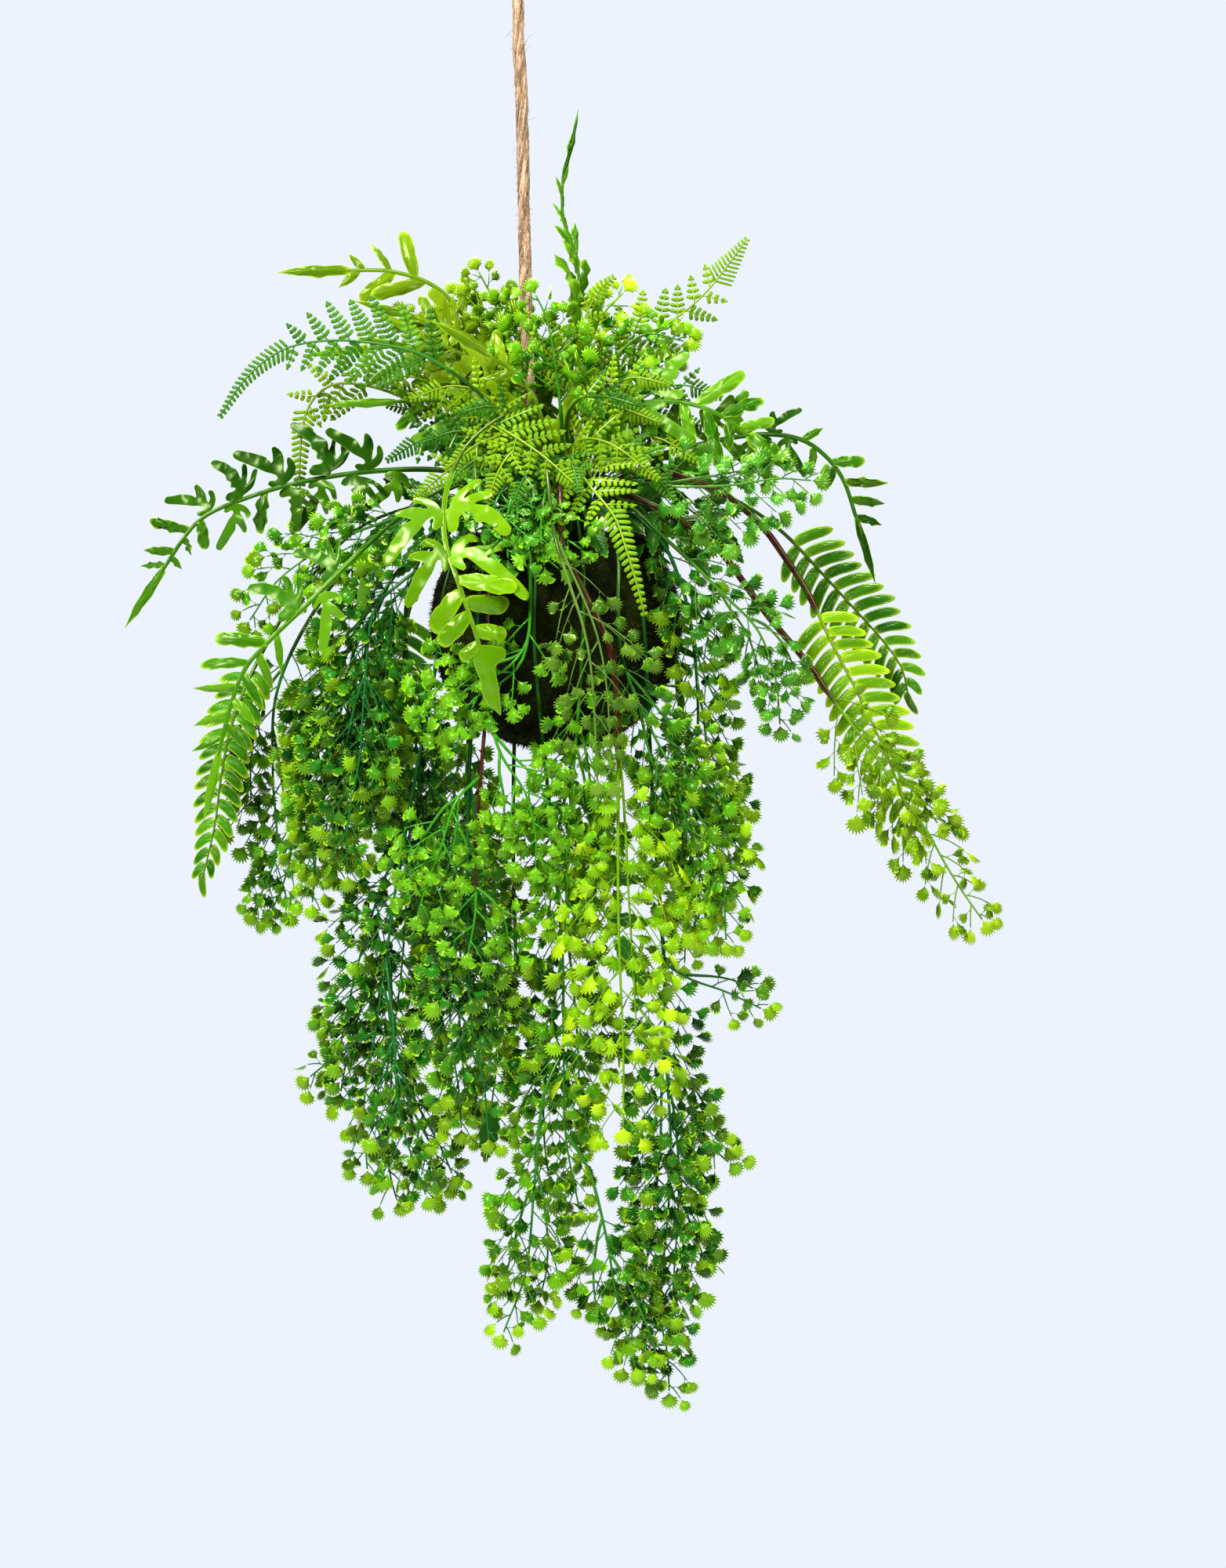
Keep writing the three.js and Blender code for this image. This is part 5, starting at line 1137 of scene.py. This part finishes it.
# Smaller lace sprays that fill the ball's mouth and the crown, mostly the lime ones in front.
for number, (tint, root, leafed, route) in enumerate((
    ("deep", [-12, -6], 75, [[-18, -14, 84], [-34, -28, 106], [-56, -40, 114], [-80, -46, 106]]),
    ("deep", [-15, -1], 80, [[-24, -4, 86], [-46, -12, 108], [-74, -18, 112], [-100, -22, 98]]),
    ("mid", [-8, -13], 70, [[-14, -26, 84], [-28, -46, 100], [-46, -62, 96], [-64, -72, 80]]),
    ("deep", [-4, -10], 75, [[-8, -20, 92], [-20, -36, 118], [-36, -48, 128], [-56, -54, 124]]),
    ("lime", [6, -10], 70, [[6, -16, 100], [10, -26, 132], [32, -36, 130], [61, -44, 119]]),
    ("lime", [10, -6], 80, [[16, -12, 88], [36, -28, 108], [60, -40, 110], [84, -46, 96]]),
    ("mid", [2, -16], 65, [[4, -30, 86], [6, -54, 98], [10, -74, 92], [14, -88, 76]]),
    ("lime", [8, 5], 95, [[10, 4, 100], [8, 2, 139], [9, 0, 160], [16, -2, 182], [26, -4, 201], [34, -6, 208]]),
    ("mid", [-15, 6], 90, [[-26, 10, 92], [-48, 14, 120], [-76, 14, 138], [-104, 12, 144]]),
    ("lime", [-6, 5], 80, [[-10, 8, 94], [-20, 8, 130], [-36, 6, 152], [-56, 4, 162]]),
    ("mid", [14, 8], 80, [[20, 12, 88], [40, 20, 116], [66, 24, 126], [92, 24, 120]]),
    ("lime", [-6, -10], 75, [[-10, -22, 92], [-24, -44, 110], [-44, -58, 106], [-64, -66, 90]]),
    ("lime", [-12, -8], 75, [[-16, -16, 86], [-36, -32, 96], [-60, -46, 92], [-82, -54, 74]]),
    ("mid", [0, -14], 65, [[0, -26, 88], [-6, -50, 98], [-16, -72, 88], [-26, -86, 66]]),
    ("mid", [12, -12], 75, [[16, -20, 86], [32, -40, 100], [52, -56, 94], [70, -66, 72]]),
    ("lime", [-10, -4], 110, [[-22, -10, 96], [-42, -26, 119], [-34, -50, 116], [-8, -72, 98], [16, -86, 76]]),
    ("lime", [4, -12], 90, [[6, -22, 92], [14, -48, 108], [34, -66, 104], [60, -74, 84]]),
    ("lime", [-4, -12], 85, [[-8, -24, 90], [-18, -52, 104], [-30, -72, 94], [-40, -84, 70]]),
    ("lime", [6, -4], 90, [[12, -10, 100], [26, -22, 134], [44, -32, 146], [66, -38, 142]]),
    ("lime", [-8, -2], 90, [[-16, -8, 100], [-36, -18, 132], [-60, -24, 142], [-86, -26, 134]]),
    ("lime", [-12, 2], 100, [[-24, 4, 96], [-50, 4, 130], [-82, 0, 148], [-112, -6, 148]]),
    ("mid", [12, 2], 90, [[22, 2, 98], [44, 0, 130], [72, -4, 144], [98, -10, 136]]),
), 1):
    lace(f"crown_{number}", tint, root, leafed, route, extra=True)


# The sword ferns: long fronds with two neat rows of curved, blunt leaflets, green down the middle and
# yellow at the rim. The stouter one stands on a dark red stalk.
sickle = drawn([
    [1, 0.16], [0.9, 0.42], [0.66, 0.5], [0.36, 0.4], [0.08, 0.3], [-0.02, 0.14], [-0.02, -0.24],
    [0.12, -0.4], [0.36, -0.36], [0.64, -0.28], [0.88, -0.1]], 24)
sickle[:, 1] += 0.45 * sickle[:, 0] ** 2 - 0.06
sword_leaf = leaf_blank(sickle, rings=4, centre=(0.48, 0.08), thick=0.03, dome=0.06)
sword_finishes = {
    "lime": leaf_finish("sword_lime", (0.03, 0.15, 0.001), (0.13, 0.3, 0.002), (0.34, 0.48, 0.006),
                        (0.14, 0.28, 0.006), "feather", rough=0.36, rim_from=0.25, vein_tone=0.2),
    "deep": leaf_finish("sword_deep", (0.008, 0.07, 0.002), (0.035, 0.18, 0.003), (0.26, 0.42, 0.008),
                        (0.05, 0.14, 0.008), "feather", rough=0.36, rim_from=0.35, vein_tone=0.2),
}


def sword(name, tint, root, leafed, route, leaflet=23.5, **more):
    spray = Spray("sword_" + name, root, leafed, route, **more)
    spray.draw_stems()
    rng = spray.rng
    gap, leaflet_wide = 0.0089, 0.0096
    for rib, leafed_length in spray.ribs:
        for k in range(1, int(leafed_length / gap) + 1):
            for side in (1, -1):
                at, along, normal, across = rib.spot(rib.length - k * gap + (0 if side > 0 else gap * 0.3))
                age = min(1, k * gap / (leafed_length * 0.5))
                size = (0.38 + 0.62 * age**0.8) * rng.uniform(0.92, 1.04)
                lean = math.radians(66 + 18 * age)
                way = along * math.cos(lean) + across * side * math.sin(lean) + normal * rng.uniform(0.02, 0.22)
                # The blade curves towards the frond's tip, so the two rows mirror each other
                blank = mirrored(sword_leaf) if side > 0 else sword_leaf
                spray.add(copies(
                    blank, at, way, normal - along * 0.35 + rng.normal(size=3) * 0.08, leaflet / 1000 * size,
                    leaflet_wide * (0.7 + 0.3 * size), rng.uniform(-0.1, 0.12), droop=rng.uniform(0.1, 0.3),
                    curl=0.12, shade=rng.random()))
        at, along, normal, across = rib.spot(rib.length - 0.002)
        spray.add(copies(sword_leaf, at, along, normal, 0.014, 0.006, 0.1, droop=0.1, shade=rng.random()))
    spray.done(sword_finishes[tint], tint)


sword("right_pale", "lime", [23.6, -11], 150, [
    [34, -17, 84], [55, -22, 92], [75, -25, 88], [100, -27, 77], [121, -28, 60], [136, -28, 40],
    [149, -28, 20], [165, -28, -13], [180, -28, -42], [195, -28, -74], [206, -28, -102],
    [214, -28, -128]], stem=2, bark=2)
sword("right_dark", "deep", [24.7, 8], 120, [
    [36, 12, 84], [60, 16, 88], [85, 18, 85], [110, 18, 75], [136, 18, 57], [160, 18, 32], [180, 18, 10],
    [197, 18, -9], [208, 18, -25], [212, 18, -42]])
sword("left", "deep", [-32.8, 8.8], 130, [
    [-50, 9, 76], [-80, 6, 73], [-120, -4, 57], [-156, -18, 15], [-180, -30, -28], [-192, -36, -60],
    [-198, -38, -90], [-202, -38, -120], [-209, -38, -150]], leaflet=17)
sword("back", "deep", [-26, 21.9], 110, [
    [-38, 34, 78], [-58, 54, 70], [-82, 74, 40], [-96, 86, -10], [-102, 92, -60], [-104, 94, -100]])


# The rue sprays: bright green stems with short twigs of small leaflets, each cut into a few blunt lobes.
# They hang in front of the ball and are moulded in one, like the maidenhair.
rue_leaf = fan_leaf([
    [1.02, 0], [0.9, 0.07], [0.93, 0.19], [0.74, 0.15], [0.88, 0.39], [0.72, 0.36], [0.69, 0.54], [0.5, 0.27],
    [0.42, 0.48], [0.3, 0.25], [0.12, 0.07]], thick=0.02, dome=0.12, fold=0.14)
rue_finishes = finishes("rue", (
    ("mid", (0.03, 0.16, 0.002), (0.1, 0.33, 0.004), (0.22, 0.48, 0.008), (0.035, 0.23, 0.008)),
    ("deep", (0.01, 0.09, 0.004), (0.04, 0.22, 0.006), (0.12, 0.36, 0.01), (0.02, 0.17, 0.01)),
), "fan", rough=0.32, rim_from=0.75)


def rue(name, tint, root, leafed, route, sisters=(2, 18, 10), **more):
    spray = Spray("rue_" + name, root, leafed, route, **more)
    spray.sisters(*sisters)
    spray.draw_stems()
    rng = spray.rng
    twig_gap, twig_short, twig_grows, grown_after, leaf_stalk = 0.0095, 0.008, 0.016, 0.06, 0.00045
    arch, leaf_gap = 0.12, 0.0062
    for rib, leafed_length in spray.ribs:
        for k in range(int(leafed_length / twig_gap)):
            side = 1 if k % 2 == 0 else -1
            at, along, normal, across = rib.spot(rib.length - (k + 0.6) * twig_gap)
            age = min(1, (k + 1) * twig_gap / grown_after)
            long = (twig_short + twig_grows * age) * rng.uniform(0.85, 1.15)
            way = unit(along * 0.7 + across * side * 0.75 + normal * rng.uniform(-0.2, 0.35))
            t = np.linspace(0, 1, 4)[:, None]
            twig = at + way * long * t + along * arch * long * t**2
            spray.add(stalks(twig[None], np.linspace(0.00065, 0.0004, 4)[None], 5, normal, 1))
            leaves = max(1, int(long / leaf_gap))
            u = np.linspace(0.35, 0.9, leaves)[:, None]
            foot = at + way * long * u + along * arch * long * u**2
            flip = np.where(np.arange(leaves) % 2 == 0, 1, -1)[:, None] * side
            stalk_way = unit(way * 0.7 + np.cross(normal, way) * flip * 0.7
                             + rng.normal(size=(leaves, 3)) * 0.12)
            ends = foot + stalk_way * 0.003
            spray.add(petioles(foot, ends + stalk_way * 0.002, leaf_stalk))
            feet, ways = np.vstack([ends, twig[-1:]]), np.vstack([stalk_way, way[None]])
            size = np.r_[rng.uniform(0.0085, 0.0108, leaves), 0.0122]
            spray.add(copies(rue_leaf, feet, ways, normal + rng.normal(size=(leaves + 1, 3)) * 0.35, size,
                             size * 1.02, rng.uniform(0, 0.25, leaves + 1),
                             droop=rng.uniform(0, 0.16, leaves + 1), shade=rng.random(leaves + 1)))
        at, along, normal, across = rib.spot(rib.length)
        spray.add(copies(rue_leaf, at, along, normal, 0.0125, 0.0125, 0.2, droop=0.08, shade=rng.random()))
    spray.done(rue_finishes[tint], tint, 130)


rue("front", "mid", [-14.4, -30.8], 40, [
    [-22, -47, 76], [-30, -66, 66], [-38, -84, 38], [-39, -90, 0], [-40, -92, -50], [-43, -94, -90],
    [-46, -94, -130], [-46, -94, -168], [-50, -92, -192]], sisters=(3, 22, 12),
    forks=[(4, [[-31, -99, -78], [-17, -102, -100], [-11, -102, -124], [-11, -100, -142]], 75),
           (5, [[-57, -100, -105], [-66, -102, -132], [-75, -102, -156], [-79, -100, -170]], 75)], bark=2)
rue("over_ball", "mid", [-6.7, -25.1], 95, [
    [-10, -48, 86], [-12, -76, 76], [-14, -96, 45], [-14, -99, 12], [-16, -99, -12], [-28, -99, -28],
    [-47, -98, -37], [-60, -96, -50], [-70, -94, -64]])
rue("small", "deep", [-14.9, -21.3], 66, [
    [-18, -45, 87], [-24, -74, 78], [-28, -94, 56], [-27, -99, 36]], sisters=(6, 18, 6))
rue("crown", "mid", [-3, -22], 62, [
    [-4, -44, 80], [-6, -74, 74], [-8, -93, 52], [-6, -99, 32]], sisters=(4, 16, 6), extra=True)

# The holly ferns: dark leathery leaves with coarse sharp teeth, which stand left and right in turn. Two
# long ones hang low down behind the other sprays, and short ones fill the ball's mouth.
holly_sides, holly_outline = 36, []
for i in range(holly_sides):
    turn = i * 2 * math.pi / holly_sides
    along_leaf = 0.5 + 0.5 * math.cos(turn)
    width = 0.5 * math.sin(math.pi * min(1, along_leaf * 0.86 + 0.14)) ** 0.7
    tooth = 1 if i % 2 == 0 else 0.78
    holly_outline.append([along_leaf + (0.03 if i % 2 == 0 else 0), math.copysign(width * tooth, math.sin(turn))
                          if i % (holly_sides // 2) else 0])
holly_leaf = leaf_blank(holly_outline, rings=4, centre=(0.45, 0), thick=0.02, dome=0.06)
holly_deep = leaf_finish("holly_deep", (0.005, 0.04, 0.004), (0.02, 0.12, 0.008), (0.1, 0.26, 0.012),
                         (0.03, 0.06, 0.01), "feather", rough=0.33, rim_from=0.75, vein_tone=0.3)


def holly(name, root, leafed, route, leaf=1.0, **more):
    spray = Spray("holly_" + name, root, leafed, route, **more)
    spray.draw_stems()
    rng = spray.rng
    gap, leaf_long, leaf_wide = 0.0155 * leaf, 0.038, 0.0145
    for rib, leafed_length in spray.ribs:
        for k in range(1, int(leafed_length / gap) + 1):
            side = 1 if k % 2 == 1 else -1
            at, along, normal, across = rib.spot(rib.length - k * gap)
            age = min(1, k * gap / (leafed_length * 0.35))
            size = (0.62 + 0.38 * age) * rng.uniform(0.92, 1.06) * leaf
            way = along * 0.55 + across * side * 0.83 + normal * rng.uniform(-0.1, 0.2)
            spray.add(copies(holly_leaf, at, way, normal + rng.normal(size=3) * 0.2, leaf_long * size,
                             leaf_wide * size, droop=rng.uniform(0.08, 0.24), curl=0.15, shade=rng.random()))
        at, along, normal, across = rib.spot(rib.length - 0.002)
        spray.add(copies(holly_leaf, at, along, normal, leaf_long * leaf, leaf_wide * leaf, droop=0.14,
                         shade=rng.random()))
    spray.done(holly_deep, "deep")


holly("centre", [8.8, 32.8], 120, [
    [13, 50, 76], [17, 68, 66], [20, 86, 30], [20, 90, -20], [12, 84, -66], [4, 68, -105],
    [10, 60, -137], [24, 58, -165], [38, 56, -190]])
holly("low", [-5.9, 33.5], 100, [
    [-10, 52, 76], [-14, 70, 66], [-20, 88, 30], [-24, 92, -20], [-27, 84, -80], [-27, 74, -150],
    [-26, 68, -205], [-34, 64, -245], [-40, 62, -290]])

# Short holly sprays low in the mouth, which close the gaps between the stems.
for number, (root, leafed, route) in enumerate((
    ([-18, 14], 80, [[-30, 22, 76], [-52, 32, 88], [-76, 38, 84], [-98, 40, 66]]),
    ([-10, 20], 75, [[-16, 32, 78], [-28, 48, 92], [-44, 60, 88], [-62, 66, 70]]),
    ([0, 22], 70, [[0, 36, 80], [-2, 54, 96], [-8, 70, 90], [-14, 82, 70]]),
    ([10, 20], 75, [[16, 32, 78], [26, 48, 92], [38, 60, 88], [52, 68, 70]]),
    ([18, 14], 80, [[30, 22, 76], [50, 32, 88], [72, 38, 84], [92, 40, 66]]),
    ([-20, 4], 70, [[-34, 4, 70], [-54, 2, 78], [-76, 0, 74], [-94, -2, 58]]),
    ([20, 4], 70, [[34, 4, 70], [54, 2, 78], [74, 0, 74], [92, -2, 58]]),
    ([-16, -12], 60, [[-28, -22, 66], [-44, -34, 72], [-62, -42, 66], [-76, -46, 50]]),
    ([16, -12], 60, [[28, -20, 66], [44, -30, 72], [60, -38, 66], [74, -42, 50]]),
    ([-4, 14], 70, [[-8, 20, 90], [-20, 26, 114], [-38, 30, 124], [-58, 30, 118]]),
    ([8, 12], 70, [[12, 16, 92], [22, 20, 116], [38, 22, 126], [56, 22, 120]]),
    ([-8, -18], 45, [[-14, -34, 64], [-24, -52, 68], [-32, -66, 58]]),
    ([6, -20], 45, [[8, -36, 64], [14, -54, 68], [20, -68, 58]]),
), 1):
    holly(f"crown_{number}", root, leafed, route, leaf=0.8, extra=True)

# The studio: a pale round floor well below, a pale blue-white room and four lamps. The room looks bright
# to the camera but lights the plant dimly, so that the leaves keep their shadows.
floor_z = -1.7
bpy.ops.object.select_all(action="DESELECT")
bpy.ops.mesh.primitive_circle_add(vertices=96, radius=3, fill_type="NGON", location=(0, 0, floor_z))
floor = bpy.context.object
floor.name = "floor"
floor_white, start, shader = finish("floor_white", Roughness=0.9)
shader.inputs["Base Color"].default_value = (0.84, 0.88, 0.93, 1)
floor.data.materials.append(floor_white)
world = bpy.data.worlds.new("studio")
world.use_nodes = True
sky = Wire(world.node_tree)
seen = sky.node("LightPath", out=0)
world_light = seen.colours((0.012, 0.018, 0.004), (0.843, 0.897, 0.98))
world.node_tree.links.new(world_light.socket, world.node_tree.nodes["Background"].inputs[0])
bpy.context.scene.world = world
bpy.context.scene.view_settings.view_transform = "Standard"
lamp_white = (1, 1, 0.93)
for name, place, size, power in (
    ("front_left", (-1.4, -2.3, 1.2), 0.85, 186), ("front_right", (2.1, -1.7, 0.5), 0.8, 50),
    ("top", (0.1, 0.1, 1.9), 1.0, 104), ("behind", (-0.6, 2.6, 0.3), 1.2, 26),
):
    lamp = bpy.data.lights.new(name, "AREA")
    lamp.size, lamp.energy, lamp.color = size, power, lamp_white
    holder = bpy.data.objects.new(name, lamp)
    bpy.context.collection.objects.link(holder)
    aim = metres([0, 0, -60]) - np.array(place)
    holder.location = place
    holder.rotation_euler = (
        math.atan2(math.hypot(aim[0], aim[1]), -aim[2]), 0, math.atan2(aim[1], aim[0]) - math.pi / 2,
    )
